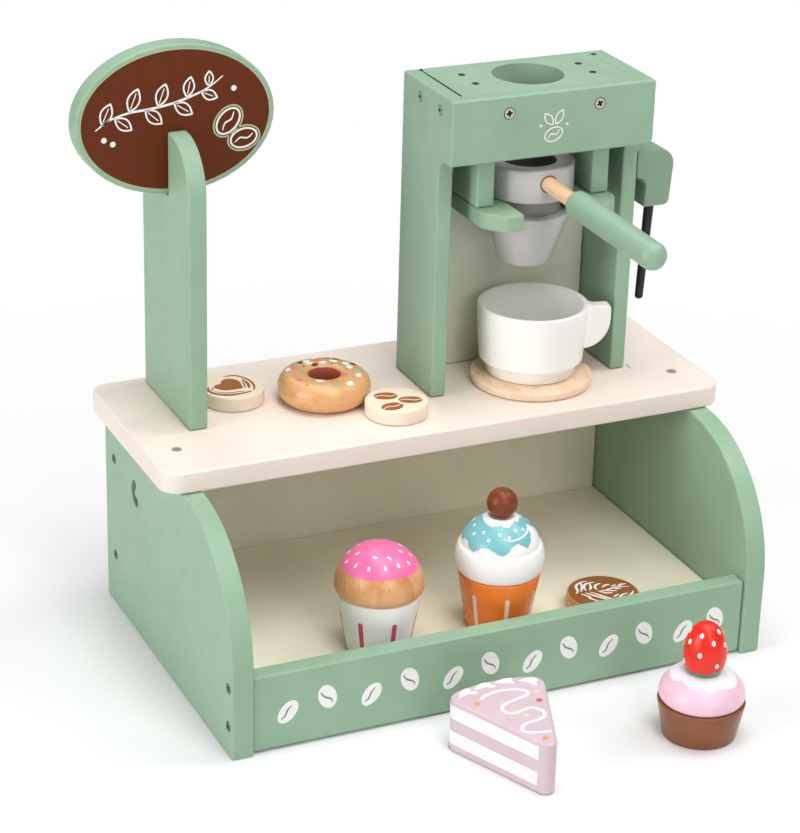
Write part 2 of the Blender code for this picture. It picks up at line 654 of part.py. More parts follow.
def portafilter_profile():
    """Bowl, ring, neck and cone of the portafilter, from the bowl's floor to the foot."""
    neck_radius = FORK_HALF_OPENING - PORTAFILTER_NECK_CLEARANCE
    edge = PORTAFILTER_EDGE
    ring = PORTAFILTER_RING_RADIUS
    top = PORTAFILTER_RING_TOP
    bowl_floor = top - PORTAFILTER_BOWL_DEPTH
    foot = PORTAFILTER_CONE_BOTTOM
    slope = (PORTAFILTER_CONE_TOP_RADIUS - PORTAFILTER_CONE_BOTTOM_RADIUS) / PORTAFILTER_CONE_HEIGHT
    return [
        (0.0, bowl_floor),
        (PORTAFILTER_BOWL_RADIUS - edge, bowl_floor),
        (PORTAFILTER_BOWL_RADIUS, bowl_floor + edge),
        (PORTAFILTER_BOWL_RADIUS, top - edge),
        (PORTAFILTER_BOWL_RADIUS + edge, top),
        (ring - edge, top),
        (ring - edge / 3, top - edge / 3),
        (ring, top - edge),
        (ring, PORTAFILTER_RING_BOTTOM + edge),
        (ring - edge, PORTAFILTER_RING_BOTTOM),
        (neck_radius, PORTAFILTER_RING_BOTTOM),
        (neck_radius, PORTAFILTER_CONE_TOP),
        (PORTAFILTER_CONE_TOP_RADIUS - edge, PORTAFILTER_CONE_TOP),
        (PORTAFILTER_CONE_TOP_RADIUS, PORTAFILTER_CONE_TOP - edge),
        (PORTAFILTER_CONE_BOTTOM_RADIUS + slope * CONE_FOOT_ROUND, foot + CONE_FOOT_ROUND),
        (PORTAFILTER_CONE_BOTTOM_RADIUS - CONE_FOOT_ROUND / 3, foot + CONE_FOOT_ROUND / 3),
        (PORTAFILTER_CONE_BOTTOM_RADIUS - CONE_FOOT_ROUND, foot),
        (0.0, foot),
    ]


def grip_profile():
    """Handle grip along its axis, from the round nose back to the dowel end."""
    nose = []
    for step in range(GRIP_NOSE_STEPS + 1):
        angle = math.pi / 2 * step / GRIP_NOSE_STEPS
        nose.append((GRIP_RADIUS * math.sin(angle),
                     GRIP_LENGTH - GRIP_NOSE_LENGTH * (1 - math.cos(angle))))
    rear = arc((GRIP_RADIUS - GRIP_REAR_ROUND, GRIP_REAR_ROUND), GRIP_REAR_ROUND,
               0.0, -math.pi / 2, CORNER_STEPS // 2)
    return nose + rear + [(0.0, 0.0)]


def make_portafilter(shop):
    """Basket with a dowel handle; the handle points a little to the left of the front."""
    turned = (math.pi / 2, 0.0, PORTAFILTER_TURN)
    outward = Vector((math.sin(PORTAFILTER_TURN), -math.cos(PORTAFILTER_TURN), 0.0))
    axis = Vector((MACHINE_MIDDLE, PORTAFILTER_Y, DOWEL_HEIGHT))
    basket = shop.turned_piece("portafilter_basket", portafilter_profile(),
                               (MACHINE_MIDDLE, PORTAFILTER_Y, 0.0), GREY_PAINT)
    dowel_start = PORTAFILTER_RING_RADIUS - DOWEL_SOCKET_DEPTH
    dowel_length = DOWEL_SOCKET_DEPTH + DOWEL_FREE_LENGTH + DOWEL_DEPTH_IN_GRIP
    grip_start = PORTAFILTER_RING_RADIUS + DOWEL_FREE_LENGTH
    socket_length = DOWEL_SOCKET_DEPTH + GAP + CUT_OVERRUN
    socket = shop.rod_cutter("basket_socket", DOWEL_RADIUS + GAP, socket_length,
                             axis + outward * (dowel_start - GAP + socket_length / 2), turned)
    shop.cut(basket, socket)
    dowel = [(0.0, dowel_length), (DOWEL_RADIUS, dowel_length), (DOWEL_RADIUS, 0.0), (0.0, 0.0)]
    shop.turned_piece("portafilter_dowel", dowel, axis + outward * dowel_start, BEECH, turned,
                      steps=TURN_STEPS // 2)
    grip = shop.turned_piece("portafilter_grip", grip_profile(), axis + outward * grip_start,
                             GREEN_PAINT, turned, steps=TURN_STEPS * 3 // 4)
    bore_length = DOWEL_DEPTH_IN_GRIP + GAP + CUT_OVERRUN
    bore = shop.rod_cutter("grip_bore", DOWEL_RADIUS + GAP, bore_length,
                           axis + outward * (grip_start - CUT_OVERRUN + bore_length / 2), turned)
    shop.cut(grip, bore)


def wand_block_outline():
    """Steam wand block in front view: a hook with a round shoulder and a notch below."""
    right = WAND_BLOCK_WIDTH
    toe_right = right - WAND_BLOCK_TAPER
    top = WAND_TOP - WAND_PIVOT_Z
    bottom = WAND_BOTTOM - WAND_PIVOT_Z
    shoulder = arc((right - WAND_BLOCK_SHOULDER_RADIUS, top - WAND_BLOCK_SHOULDER_RADIUS),
                   WAND_BLOCK_SHOULDER_RADIUS, math.pi / 2, 0.0, CORNER_STEPS)
    toe = arc((toe_right - WAND_BLOCK_TOE_RADIUS, bottom + WAND_BLOCK_TOE_RADIUS),
              WAND_BLOCK_TOE_RADIUS, 0.0, -math.pi / 2, CORNER_STEPS // 2)
    notch_top = bottom + WAND_NOTCH_HEIGHT
    notch = arc((WAND_NOTCH_WIDTH - WAND_NOTCH_ROUND, notch_top - WAND_NOTCH_ROUND),
                WAND_NOTCH_ROUND, 0.0, math.pi / 2, CORNER_STEPS)
    mouth = (WAND_NOTCH_WIDTH - WAND_NOTCH_DRAFT, bottom)
    return [(0.0, top)] + shoulder + toe + [mouth] + notch + [(0.0, notch_top)]


def make_steam_wand(shop):
    block = shop.outline_piece("steam_wand_block", wand_block_outline(), WAND_BLOCK_DEPTH,
                               (WAND_LEFT, WAND_MIDDLE_Y, WAND_PIVOT_Z), FRONT_VIEW, GREEN_PAINT,
                               edge=0.0)
    lean = (0.0, WAND_ROD_LEAN, 0.0)
    rod_mouth = Vector((WAND_ROD_X, WAND_MIDDLE_Y, WAND_BOTTOM))
    down = Vector((-math.sin(WAND_ROD_LEAN), 0.0, -math.cos(WAND_ROD_LEAN)))
    socket_length = WAND_ROD_SOCKET_DEPTH + GAP + CUT_OVERRUN
    socket_middle = rod_mouth - down * (WAND_ROD_SOCKET_DEPTH + GAP - socket_length / 2)
    socket = shop.rod_cutter("wand_socket", WAND_ROD_RADIUS + GAP, socket_length, socket_middle,
                             lean, TURN_STEPS // 2)
    shop.cut(block, socket)
    bore_length = PIVOT_DEPTH_IN_BLOCK + GAP + CUT_OVERRUN
    bore_middle = WAND_LEFT - CUT_OVERRUN + bore_length / 2
    bore = shop.rod_cutter("pivot_bore", PIVOT_RADIUS + GAP, bore_length,
                           (bore_middle, WAND_MIDDLE_Y, WAND_PIVOT_Z), ALONG_X, TURN_STEPS // 2)
    shop.cut(block, bore)
    shop.round_edges(block, BOARD_EDGE / 2, 1)
    length = WAND_ROD_SOCKET_DEPTH + WAND_ROD_FREE_LENGTH
    rod = [
        (0.0, 0.0),
        (WAND_ROD_RADIUS, 0.0),
        (WAND_ROD_RADIUS, -WAND_ROD_SOCKET_DEPTH),
        (WAND_ROD_END_RADIUS, WAND_ROD_TIP - length),
        (WAND_ROD_END_RADIUS - WAND_ROD_TIP, -length),
        (0.0, -length),
    ]
    shop.turned_piece("steam_wand_rod", rod, rod_mouth - down * WAND_ROD_SOCKET_DEPTH,
                      BLACK_PAINT, lean, steps=TURN_STEPS // 2)
    head = BAY_RIGHT - GAP
    shank = WAND_LEFT + PIVOT_DEPTH_IN_BLOCK - head
    screw = [
        (0.0, shank),
        (PIVOT_RADIUS, shank),
        (PIVOT_RADIUS, 0.0),
        (PIVOT_HEAD_RADIUS, 0.0),
        (PIVOT_HEAD_RADIUS, -PIVOT_HEAD_HEIGHT / 2),
        (PIVOT_HEAD_RADIUS * 2 / 3, -PIVOT_HEAD_HEIGHT),
        (0.0, -PIVOT_HEAD_HEIGHT),
    ]
    shop.turned_piece("steam_wand_pivot", screw, (head, WAND_MIDDLE_Y, WAND_PIVOT_Z), STEEL,
                      ALONG_X, steps=TURN_STEPS // 2)


def disc_profile(radius, thickness, edge):
    """Flat disc with rounded edges, standing on height zero."""
    upper = arc((radius - edge, thickness - edge), edge, math.pi / 2, 0.0, CORNER_STEPS // 2)
    lower = arc((radius - edge, edge), edge, 0.0, -math.pi / 2, CORNER_STEPS // 2)
    return [(0.0, thickness)] + upper + lower + [(0.0, 0.0)]


def cup_outer_profile():
    step = CUP_SHOULDER_ROUND
    return [
        (0.0, CUP_HEIGHT),
        (CUP_RIM_RADIUS - CUP_WALL / 2, CUP_HEIGHT),
        (CUP_RIM_RADIUS - CUP_WALL / 6, CUP_HEIGHT - CUP_WALL / 6),
        (CUP_RIM_RADIUS, CUP_HEIGHT - CUP_WALL / 2),
        (CUP_MIDDLE_RADIUS, CUP_MIDDLE_HEIGHT),
        (CUP_BODY_FOOT_RADIUS + step / 4, CUP_FOOT_HEIGHT + 2 * step),
        (CUP_BODY_FOOT_RADIUS - step / 4, CUP_FOOT_HEIGHT + step / 2),
        (CUP_FOOT_RADIUS, CUP_FOOT_HEIGHT),
        (CUP_FOOT_RADIUS, step / 2),
        (CUP_FOOT_RADIUS - step / 2, 0.0),
        (0.0, 0.0),
    ]


def cup_inner_profile():
    rim = CUP_RIM_RADIUS - CUP_WALL
    middle = CUP_MIDDLE_RADIUS - CUP_WALL
    floor_radius = CUP_BODY_FOOT_RADIUS - CUP_WALL
    return [
        (0.0, CUP_HEIGHT + CUT_OVERRUN),
        (CUP_RIM_RADIUS - CUP_WALL / 2, CUP_HEIGHT + CUT_OVERRUN),
        (CUP_RIM_RADIUS - CUP_WALL / 2, CUP_HEIGHT),
        (CUP_RIM_RADIUS - CUP_WALL * 5 / 6, CUP_HEIGHT - CUP_WALL / 6),
        (rim, CUP_HEIGHT - CUP_WALL / 2),
        (middle, CUP_MIDDLE_HEIGHT),
        (floor_radius, CUP_FLOOR + CUP_INNER_ROUND),
        (floor_radius - CUP_INNER_ROUND / 3, CUP_FLOOR + CUP_INNER_ROUND / 3),
        (floor_radius - CUP_INNER_ROUND, CUP_FLOOR),
        (0.0, CUP_FLOOR),
    ]


def ear_outline():
    """Cup ear in its own plane: flat top, rounded corner and a belly back to the wall."""
    top = CUP_HEIGHT - EAR_TOP_BELOW_RIM
    corner = arc((EAR_REACH - EAR_CORNER_RADIUS, top - EAR_CORNER_RADIUS), EAR_CORNER_RADIUS,
                 math.pi / 2, 0.0, CORNER_STEPS // 2)
    belly_width = EAR_REACH - CUP_BODY_FOOT_RADIUS
    belly_height = EAR_HEIGHT - EAR_SIDE_STRAIGHT
    belly = []
    for point in arc((0.0, 0.0), 1.0, 0.0, -math.pi / 2, CORNER_STEPS + 2):
        belly.append((EAR_REACH - belly_width * (1 - point[0]),
                      top - EAR_SIDE_STRAIGHT + belly_height * point[1]))
    bottom = top - EAR_HEIGHT
    root = EAR_ROOT_SHARE * CUP_BODY_FOOT_RADIUS
    return [(root, top)] + corner + belly + [(root, bottom)]


def make_cup_and_saucer(shop):
    shop.turned_piece("saucer", disc_profile(SAUCER_RADIUS, SAUCER_THICKNESS, SAUCER_EDGE),
                      (SAUCER_X, SAUCER_Y, SAUCER_BOTTOM), BEECH)
    place = (CUP_X, CUP_Y, CUP_BOTTOM)
    cup = shop.turned_piece("cup", cup_outer_profile(), place, WHITE_GLOSS)
    ear = bpy.data.objects.new("cup_ear", shop.outline_mesh("cup_ear", ear_outline(), EAR_THICKNESS))
    shop.place(ear, place, (math.pi / 2, 0.0, EAR_TURN))
    shop.round_edges(ear, BOARD_EDGE)
    shop.cut(cup, shop.as_cutter(ear), "UNION")
    hollow = shop.turned_piece("cup_hollow", cup_inner_profile(), place, WHITE_GLOSS)
    shop.cut(cup, shop.as_cutter(hollow))


def post_outline():
    """Sign post in side view: round shoulders and a slot that the sign board stands in."""
    front = POST_Y
    rear = POST_Y + POST_WIDTH
    shoulder = POST_TOP - POST_SHOULDER_RADIUS
    rear_shoulder = arc((rear - POST_REAR_SHOULDER_RADIUS, POST_TOP - POST_REAR_SHOULDER_RADIUS),
                        POST_REAR_SHOULDER_RADIUS,
                        0.0, math.pi / 2, POST_SHOULDER_STEPS)
    front_shoulder = arc((front + POST_SHOULDER_RADIUS, shoulder), POST_SHOULDER_RADIUS,
                         math.pi / 2, math.pi, POST_SHOULDER_STEPS)
    slot_front = SIGN_MIDDLE_Y - SIGN_THICKNESS / 2 - GAP
    slot_rear = SIGN_MIDDLE_Y + SIGN_THICKNESS / 2 + GAP
    slot_bottom = SIGN_BOTTOM - GAP
    slot = [(slot_rear, POST_TOP), (slot_rear, slot_bottom), (slot_front, slot_bottom),
            (slot_front, POST_TOP)]
    return [(rear, POST_BOTTOM)] + rear_shoulder + slot + front_shoulder + [(front, POST_BOTTOM)]


def make_sign(shop):
    shop.outline_piece("sign_post", post_outline(), POST_THICKNESS,
                       (POST_MIDDLE_X, 0.0, 0.0), SIDE_VIEW, GREEN_PAINT)
    oval = []
    for step in range(SIGN_STEPS):
        angle = math.tau * step / SIGN_STEPS
        oval.append((SIGN_WIDTH / 2 * math.cos(angle), SIGN_HEIGHT / 2 * math.sin(angle)))
    shop.outline_piece("sign_board", oval, SIGN_THICKNESS,
                       (POST_MIDDLE_X, SIGN_MIDDLE_Y, SIGN_MIDDLE_Z), FRONT_VIEW, GREEN_PAINT)


def make_discs(shop):
    discs = (
        ("heart_disc", HEART_DISC_RADIUS, (HEART_DISC_X, HEART_DISC_Y, COUNTER_TOP + GAP), DISC_CREAM),
        ("bean_disc", BEAN_DISC_RADIUS, (BEAN_DISC_X, BEAN_DISC_Y, COUNTER_TOP + GAP), DISC_CREAM),
        ("fern_disc", FERN_DISC_RADIUS, (FERN_DISC_X, FERN_DISC_Y, SHELF), BEECH),
    )
    for name, radius, place, look in discs:
        shop.turned_piece(name, disc_profile(radius, DISC_THICKNESS, DISC_EDGE), place, look)


def make_donut(shop):
    ring_radius = (DONUT_RADIUS + DONUT_HOLE_RADIUS) / 2
    half_width = (DONUT_RADIUS - DONUT_HOLE_RADIUS) / 2
    half_height = DONUT_HEIGHT / 2
    section = []
    for step in range(DONUT_SECTION_STEPS):
        angle = math.pi / 2 - math.tau * step / DONUT_SECTION_STEPS
        section.append((ring_radius + half_width * math.cos(angle),
                        half_height + half_height * math.sin(angle)))
    shop.turned_piece("donut", section, (DONUT_X, DONUT_Y, COUNTER_TOP + GAP), BEECH)


def case_profile(bottom_radius, top_radius, height):
    """Cupcake case: a plain taper with rounded edges."""
    edge = CASE_EDGE
    return [
        (0.0, height),
        (top_radius - edge, height),
        (top_radius, height - edge),
        (bottom_radius + edge / 3, edge),
        (bottom_radius - edge, 0.0),
        (0.0, 0.0),
    ]


def make_pink_cupcake(shop):
    shop.turned_piece("pink_cupcake_case",
                      case_profile(CASE_BOTTOM_RADIUS, CASE_TOP_RADIUS, CASE_HEIGHT),
                      (PINK_X, PINK_Y, SHELF), CASE_WHITE)
    dome = []
    for step in range(PINK_DOME_STEPS + 1):
        angle = math.pi / 2 * step / PINK_DOME_STEPS
        dome.append((PINK_DOME_RADIUS * math.sin(angle),
                     PINK_DOME_SKIRT + PINK_DOME_HEIGHT * math.cos(angle)))
    foot = CASE_TOP_RADIUS - CASE_EDGE
    middle = PINK_DOME_RADIUS - (PINK_DOME_RADIUS - foot) / 3
    dome += [(middle, PINK_DOME_SKIRT / 3), (foot, 0.0), (0.0, 0.0)]
    shop.turned_piece("pink_cupcake_top", dome, (PINK_X, PINK_Y, SHELF + CASE_HEIGHT + GAP), BEECH)


def frosting_profile(dimple):
    """White roll below, then a crown that rises to the seat of the ball."""
    roll_middle = FROSTING_ROLL_HEIGHT / 2
    foot = CASE_TOP_RADIUS - CASE_EDGE
    crown = []
    for step in range(FROSTING_STEPS + 1):
        share = 1 - step / FROSTING_STEPS
        crown.append((FROSTING_GROOVE_RADIUS
                      - (FROSTING_GROOVE_RADIUS - FROSTING_TOP_RADIUS) * share ** 2,
                      FROSTING_ROLL_HEIGHT + FROSTING_CROWN_HEIGHT * share))
    roll = []
    for step in range(1, FROSTING_STEPS):
        angle = math.pi / 2 - math.pi * step / FROSTING_STEPS
        roll.append((foot + (FROSTING_ROLL_RADIUS - foot) * math.cos(angle),
                     roll_middle + roll_middle * math.sin(angle)))
    top = FROSTING_ROLL_HEIGHT + FROSTING_CROWN_HEIGHT
    seat = dimple / 2
    return [(0.0, top - dimple), (FROSTING_TOP_RADIUS / 2, top - seat)] + crown + roll + [
        (foot, 0.0), (0.0, 0.0)]


def make_blue_cupcake(shop):
    shop.turned_piece("blue_cupcake_case",
                      case_profile(CASE_BOTTOM_RADIUS, CASE_TOP_RADIUS, CASE_HEIGHT),
                      (BLUE_X, BLUE_Y, SHELF), CASE_ORANGE)
    frosting_base = SHELF + CASE_HEIGHT + GAP
    shop.turned_piece("blue_cupcake_frosting", frosting_profile(2 * BALL_SINK),
                      (BLUE_X, BLUE_Y, frosting_base), FROSTING_WHITE)
    frosting_top = frosting_base + FROSTING_ROLL_HEIGHT + FROSTING_CROWN_HEIGHT
    ball_centre = frosting_top - BALL_SINK + BALL_RADIUS
    bpy.ops.mesh.primitive_uv_sphere_add(segments=TURN_STEPS // 3 * 2, ring_count=12,
                                         radius=BALL_RADIUS)
    ball = bpy.context.active_object
    ball.name = "blue_cupcake_ball"
    shop.place(ball, (BLUE_X, BLUE_Y, ball_centre))
    ball.data.shade_smooth()
    shop.paint(ball, CHOCOLATE)


def icing_profile():
    foot = LOW_CASE_TOP_RADIUS - 2 * CASE_EDGE
    crown = []
    for step in range(ICING_STEPS + 1):
        angle = math.pi / 2 * step / ICING_STEPS
        crown.append((ICING_TOP_RADIUS + (ICING_RADIUS - ICING_TOP_RADIUS) * math.sin(angle),
                      ICING_SKIRT + ICING_CROWN_HEIGHT * math.cos(angle)))
    return [(0.0, ICING_SKIRT + ICING_CROWN_HEIGHT)] + crown + [(foot, 0.0), (0.0, 0.0)]


def strawberry_profile():
    """Egg-shaped berry, blunt at its calyx below and narrower at the top."""
    rise = STRAWBERRY_HEIGHT - STRAWBERRY_WIDEST_HEIGHT
    upper = []
    for step in range(STRAWBERRY_STEPS + 1):
        angle = math.pi / 2 * step / STRAWBERRY_STEPS
        upper.append((STRAWBERRY_RADIUS * math.sin(angle),
                      STRAWBERRY_WIDEST_HEIGHT + rise * math.cos(angle)))
    lower = []
    for step in range(1, STRAWBERRY_STEPS // 2 + 1):
        angle = math.pi / 2 * step / (STRAWBERRY_STEPS // 2)
        width = STRAWBERRY_RADIUS - STRAWBERRY_BASE_RADIUS
        lower.append((STRAWBERRY_BASE_RADIUS + width * math.cos(angle),
                      STRAWBERRY_WIDEST_HEIGHT * (1 - math.sin(angle))))
    return upper + lower + [(0.0, 0.0)]


def make_strawberry_cupcake(shop):
    place = (STRAWBERRY_CUPCAKE_X, STRAWBERRY_CUPCAKE_Y)
    shop.turned_piece("strawberry_cupcake_case",
                      case_profile(LOW_CASE_BOTTOM_RADIUS, LOW_CASE_TOP_RADIUS, LOW_CASE_HEIGHT),
                      (*place, 0.0), CASE_BROWN)
    icing_base = LOW_CASE_HEIGHT + GAP
    shop.turned_piece("strawberry_cupcake_icing", icing_profile(), (*place, icing_base), ICING_PINK)
    berry_base = icing_base + ICING_SKIRT + ICING_CROWN_HEIGHT + GAP
    shop.turned_piece("strawberry", strawberry_profile(), (*place, berry_base), STRAWBERRY_RED)


def cake_outline():
    """Cake slice in plan, its axis along +Y from the point where its sides would meet."""
    corner_distance = CAKE_RADIUS - CAKE_CORNER_RADIUS
    corner_angle = CAKE_HALF_ANGLE - math.asin(CAKE_CORNER_RADIUS / corner_distance)
    up = math.pi / 2
    right_corner = arc((corner_distance * math.sin(corner_angle),
                        corner_distance * math.cos(corner_angle)), CAKE_CORNER_RADIUS,
                       -CAKE_HALF_ANGLE, up - corner_angle, CORNER_STEPS)
    back = arc((0.0, 0.0), CAKE_RADIUS, up - corner_angle, up + corner_angle, CAKE_BACK_STEPS)
    left_corner = arc((-corner_distance * math.sin(corner_angle),
                       corner_distance * math.cos(corner_angle)), CAKE_CORNER_RADIUS,
                      up + corner_angle, math.pi + CAKE_HALF_ANGLE, CORNER_STEPS)
    tip = arc((0.0, CAKE_TIP_DISTANCE), CAKE_TIP_RADIUS, math.pi + CAKE_HALF_ANGLE,
              math.tau - CAKE_HALF_ANGLE, CAKE_TIP_STEPS)
    return right_corner + back[1:-1] + left_corner + tip


def make_cake_slice(shop):
    shop.outline_piece("cake_slice", cake_outline(), CAKE_HEIGHT,
                       (CAKE_APEX_X, CAKE_APEX_Y, CAKE_HEIGHT / 2), (0.0, 0.0, CAKE_TURN),
                       CAKE_PINK, edge=CAKE_EDGE)


def main():
    clear_scene()
    shop = Workshop()
    make_cabinet(shop)
    make_machine(shop)
    make_fork(shop)
    make_portafilter(shop)
    make_steam_wand(shop)
    make_cup_and_saucer(shop)
    make_sign(shop)
    make_discs(shop)
    make_donut(shop)
    make_pink_cupcake(shop)
    make_blue_cupcake(shop)
    make_strawberry_cupcake(shop)
    make_cake_slice(shop)


main()
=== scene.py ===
"""Looks of the toy coffee maker: paints, wood, printed marks, screws, light and camera."""
import bisect
import math

import bmesh
import bpy
from mathutils import Matrix, Vector
from mathutils.geometry import tessellate_polygon


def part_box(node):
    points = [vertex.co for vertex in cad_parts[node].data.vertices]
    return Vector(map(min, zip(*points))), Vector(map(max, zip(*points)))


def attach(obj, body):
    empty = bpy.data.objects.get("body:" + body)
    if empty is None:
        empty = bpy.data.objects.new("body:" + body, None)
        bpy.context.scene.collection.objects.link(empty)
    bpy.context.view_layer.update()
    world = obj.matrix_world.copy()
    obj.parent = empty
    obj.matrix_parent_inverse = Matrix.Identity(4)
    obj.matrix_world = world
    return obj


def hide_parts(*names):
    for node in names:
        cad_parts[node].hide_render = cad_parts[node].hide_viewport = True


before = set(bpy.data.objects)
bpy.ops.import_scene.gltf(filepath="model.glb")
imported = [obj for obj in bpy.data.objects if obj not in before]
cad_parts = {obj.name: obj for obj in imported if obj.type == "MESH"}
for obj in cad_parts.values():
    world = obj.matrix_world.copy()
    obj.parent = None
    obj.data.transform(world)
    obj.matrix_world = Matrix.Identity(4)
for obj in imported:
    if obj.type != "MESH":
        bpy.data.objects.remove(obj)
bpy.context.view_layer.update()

# Places are in millimetres from the cabinet's left front corner, as in the source
CABINET_DEPTH = 209.0
PANEL_LOW, PANEL_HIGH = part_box("left_side_panel")
ORIGIN_X = -PANEL_LOW.x * 1000
ORIGIN_Y = CABINET_DEPTH - PANEL_HIGH.y * 1000


def at(x, y, z):
    return Vector(((x - ORIGIN_X) / 1000, (y - ORIGIN_Y) / 1000, z / 1000))


# Materials

def shade(colour, share=1):
    """An sRGB colour such as "94b398", lighter or darker by a share, as linear RGBA."""
    out = []
    for value in bytes.fromhex(colour):
        light = min(255, value * share) / 255
        out.append(light / 12.92 if light <= 0.04045 else ((light + 0.055) / 1.055) ** 2.4)
    return (*out, 1.0)


def feed(node, inputs):
    """Links sockets to a node's inputs, and sets plain values."""
    for key, value in inputs.items():
        if isinstance(value, bpy.types.NodeSocket):
            node.id_data.links.new(value, node.inputs[key])
        else:
            node.inputs[key].default_value = value


def add(tree, kind, inputs, **settings):
    node = tree.nodes.new(kind)
    for key, value in settings.items():
        setattr(node, key, value)
    feed(node, inputs)
    return node


class Look:
    """A node material around one Principled shader."""

    def __init__(self, name):
        self.material = bpy.data.materials.new(name)
        self.material.use_nodes = True
        self.tree = self.material.node_tree
        self.shader = self.tree.nodes["Principled BSDF"]
        self.coords = add(self.tree, "ShaderNodeTexCoord", {}).outputs["Object"]

    def finish(self, inputs):
        feed(self.shader, inputs)
        return self.material

    def noise(self, scale, detail=3.0, rough=0.5, vector=None, distortion=0.0):
        return add(self.tree, "ShaderNodeTexNoise", {
            "Scale": scale, "Detail": detail, "Roughness": rough, "Distortion": distortion,
            "Vector": vector or self.coords}).outputs["Fac"]

    def ramp(self, fac, *stops):
        node = add(self.tree, "ShaderNodeValToRGB", {"Fac": fac})
        elements = node.color_ramp.elements
        while len(elements) < len(stops):
            elements.new(0.5)
        for element, (place, colour) in zip(elements, stops):
            element.position, element.color = place, colour
        return node.outputs["Color"]

    def levels(self, fac, low, high, start=0.3, end=0.7):
        return add(self.tree, "ShaderNodeMapRange", {
            "Value": fac, "From Min": start, "From Max": end, "To Min": low,
            "To Max": high}).outputs["Result"]

    def mix(self, first, second, fac):
        return add(self.tree, "ShaderNodeMix", {6: first, 7: second, 0: fac},
                   data_type="RGBA").outputs[2]

    def bump(self, height, distance):
        return add(self.tree, "ShaderNodeBump",
                   {"Height": height, "Distance": distance}).outputs["Normal"]


def painted(name, colour, clouds, gloss, skin, inputs):
    """Paint with clouding, uneven gloss and a fine skin: each is a noise and what it makes."""
    look = Look(name)
    (noise, shares), (sheen, low, high), (grain, depth) = clouds, gloss, skin
    return look.finish({
        "Base Color": look.ramp(look.noise(*noise),
                                *((place, shade(colour, share)) for place, share in shares)),
        "Roughness": look.levels(look.noise(*sheen), low, high),
        "Normal": look.bump(look.noise(*grain), depth), **inputs})


def board_paint(name, colour, roughness=0.42, spread=0.02):
    """Sprayed satin paint on a board: faint clouding and a fine orange-peel skin."""
    return painted(name, colour,
                   ((38, 4, 0.6), ((0.30, 1 - spread), (0.50, 1), (0.72, 1 + spread))),
                   ((160,), roughness - 0.05, roughness + 0.06), ((900, 2, 0.4), 0.00003),
                   {"Specular IOR Level": 0.3})


def gloss_paint(name, colour, roughness=0.22, spread=0.008, coat=0.2):
    """Thick gloss paint on a turned piece."""
    return painted(name, colour, ((70,), ((0.30, 1 - spread), (0.70, 1 + spread))),
                   ((240, 2), roughness - 0.03, roughness + 0.05), ((300, 1, 0.4), 0.000012),
                   {"Coat Weight": coat, "Coat Roughness": 0.2, "Specular IOR Level": 0.35})


def ink(name, colour, roughness=0.45):
    """Printed or brushed mark."""
    return painted(name, colour, ((260, 3, 0.6), ((0.3, 0.98), (0.7, 1.02))),
                   ((500, 2), roughness - 0.04, roughness + 0.06), ((1500, 1), 0.00001),
                   {"Specular IOR Level": 0.15})


def wood(name, light, dark, pore, stretch, roughness=0.42, bands=90.0):
    """Varnished beech: soft growth bands, fine fibres and short dark flecks along the grain."""
    look = Look(name)
    grain = add(look.tree, "ShaderNodeMapping",
                {"Scale": stretch, "Vector": look.coords}).outputs["Vector"]
    fibre = look.noise(900.0, 3.0, 0.6, grain)
    fleck = look.noise(620.0, 1.0, 0.4, grain)
    base = look.ramp(look.noise(bands, 2.0, 0.5, grain, 0.6),
                     (0.28, shade(dark)), (0.48, shade(light)), (0.62, shade(light, 1.02)),
                     (0.78, shade(dark)))
    fine = look.mix(base, shade(dark), look.levels(fibre, 0.0, 0.35, 0.45, 0.75))
    return look.finish({
        "Base Color": look.mix(fine, shade(pore), look.levels(fleck, 0.0, 0.55, 0.66, 0.80)),
        "Roughness": look.levels(fibre, roughness - 0.04, roughness + 0.08),
        "Normal": look.bump(fibre, 0.00004),
        "Coat Weight": 0.25, "Coat Roughness": 0.3})


SAGE = "94b398"
CREAM = "efe2d7"
LOOKS = {}
for maker, rows in (
        (board_paint, (
            ("green", "green_paint", SAGE),
            ("rail_green", "green_paint_rail", "94b499"),
            # Paler green for the machine's top board: painted sheen of the light from above
            ("top_green", "green_paint_top", "98b49c"),
            # Darker green for the steam wand block: painted shade, the paint is the same sage
            ("wand_green", "green_paint_wand", "85a088"),
            ("cream", "cream_paint", CREAM, 0.5, 0.012),
            # Greener cream for the floor board and back panel: painted bounce light from the green
            # and cream boards in the cabinet
            ("cream_inside", "cream_paint_inside", "f0ebd6", 0.5, 0.012),
            # Darker cream for the machine's back panel: painted shade inside the machine
            ("cream_machine", "cream_paint_machine", "e2e2cf", 0.5, 0.012),
            ("disc", "cream_disc", "f3e2cd", 0.5, 0.015),
            ("black", "black_paint", "262422", 0.35, 0.03),
            ("cake", "cake_pink", "d4bec5", 0.34, 0.02))),
        (gloss_paint, (
            ("grey", "grey_paint", "bcbab6", 0.3),
            ("grip", "green_grip", "90af96", 0.36, 0.01, 0.1),
            ("white", "white_gloss", "fbf9f5", 0.3, 0.003, 0.08),
            ("case_white", "case_white", "fcfbf9", 0.3),
            ("case_orange", "case_orange", "fa8430", 0.28),
            ("case_brown", "case_brown", "884e2c", 0.3),
            ("chocolate", "chocolate", "7c3a1a", 0.38, 0.008, 0.05),
            ("frosting", "frosting_white", "f7f5f3", 0.32),
            ("icing", "icing_pink", "f0c7d8", 0.3),
            ("berry", "berry_red", "e82c1c", 0.32, 0.008, 0.08))),
        (wood, (
            ("beech", "beech", "f7d8ba", "eac2a0", "c69270", (1, 0.12, 1)),
            ("dowel", "beech_dowel", "f0c8a4", "deac84", "b07652", (1, 0.10, 1)),
            ("donut", "beech_warm", "e4ad76", "d4965e", "a06438", (1, 0.3, 1.6), 0.3, 60),
            ("dome", "beech_dome", "e0a670", "ce8e58", "a0643a", (1.6, 1.6, 0.25), 0.3, 80),
            ("fern_wood", "beech_disc", "e8ae7c", "d69662", "a66c44", (1, 0.2, 2))))):
    for look_name, *about in rows:
        LOOKS[look_name] = maker(*about)

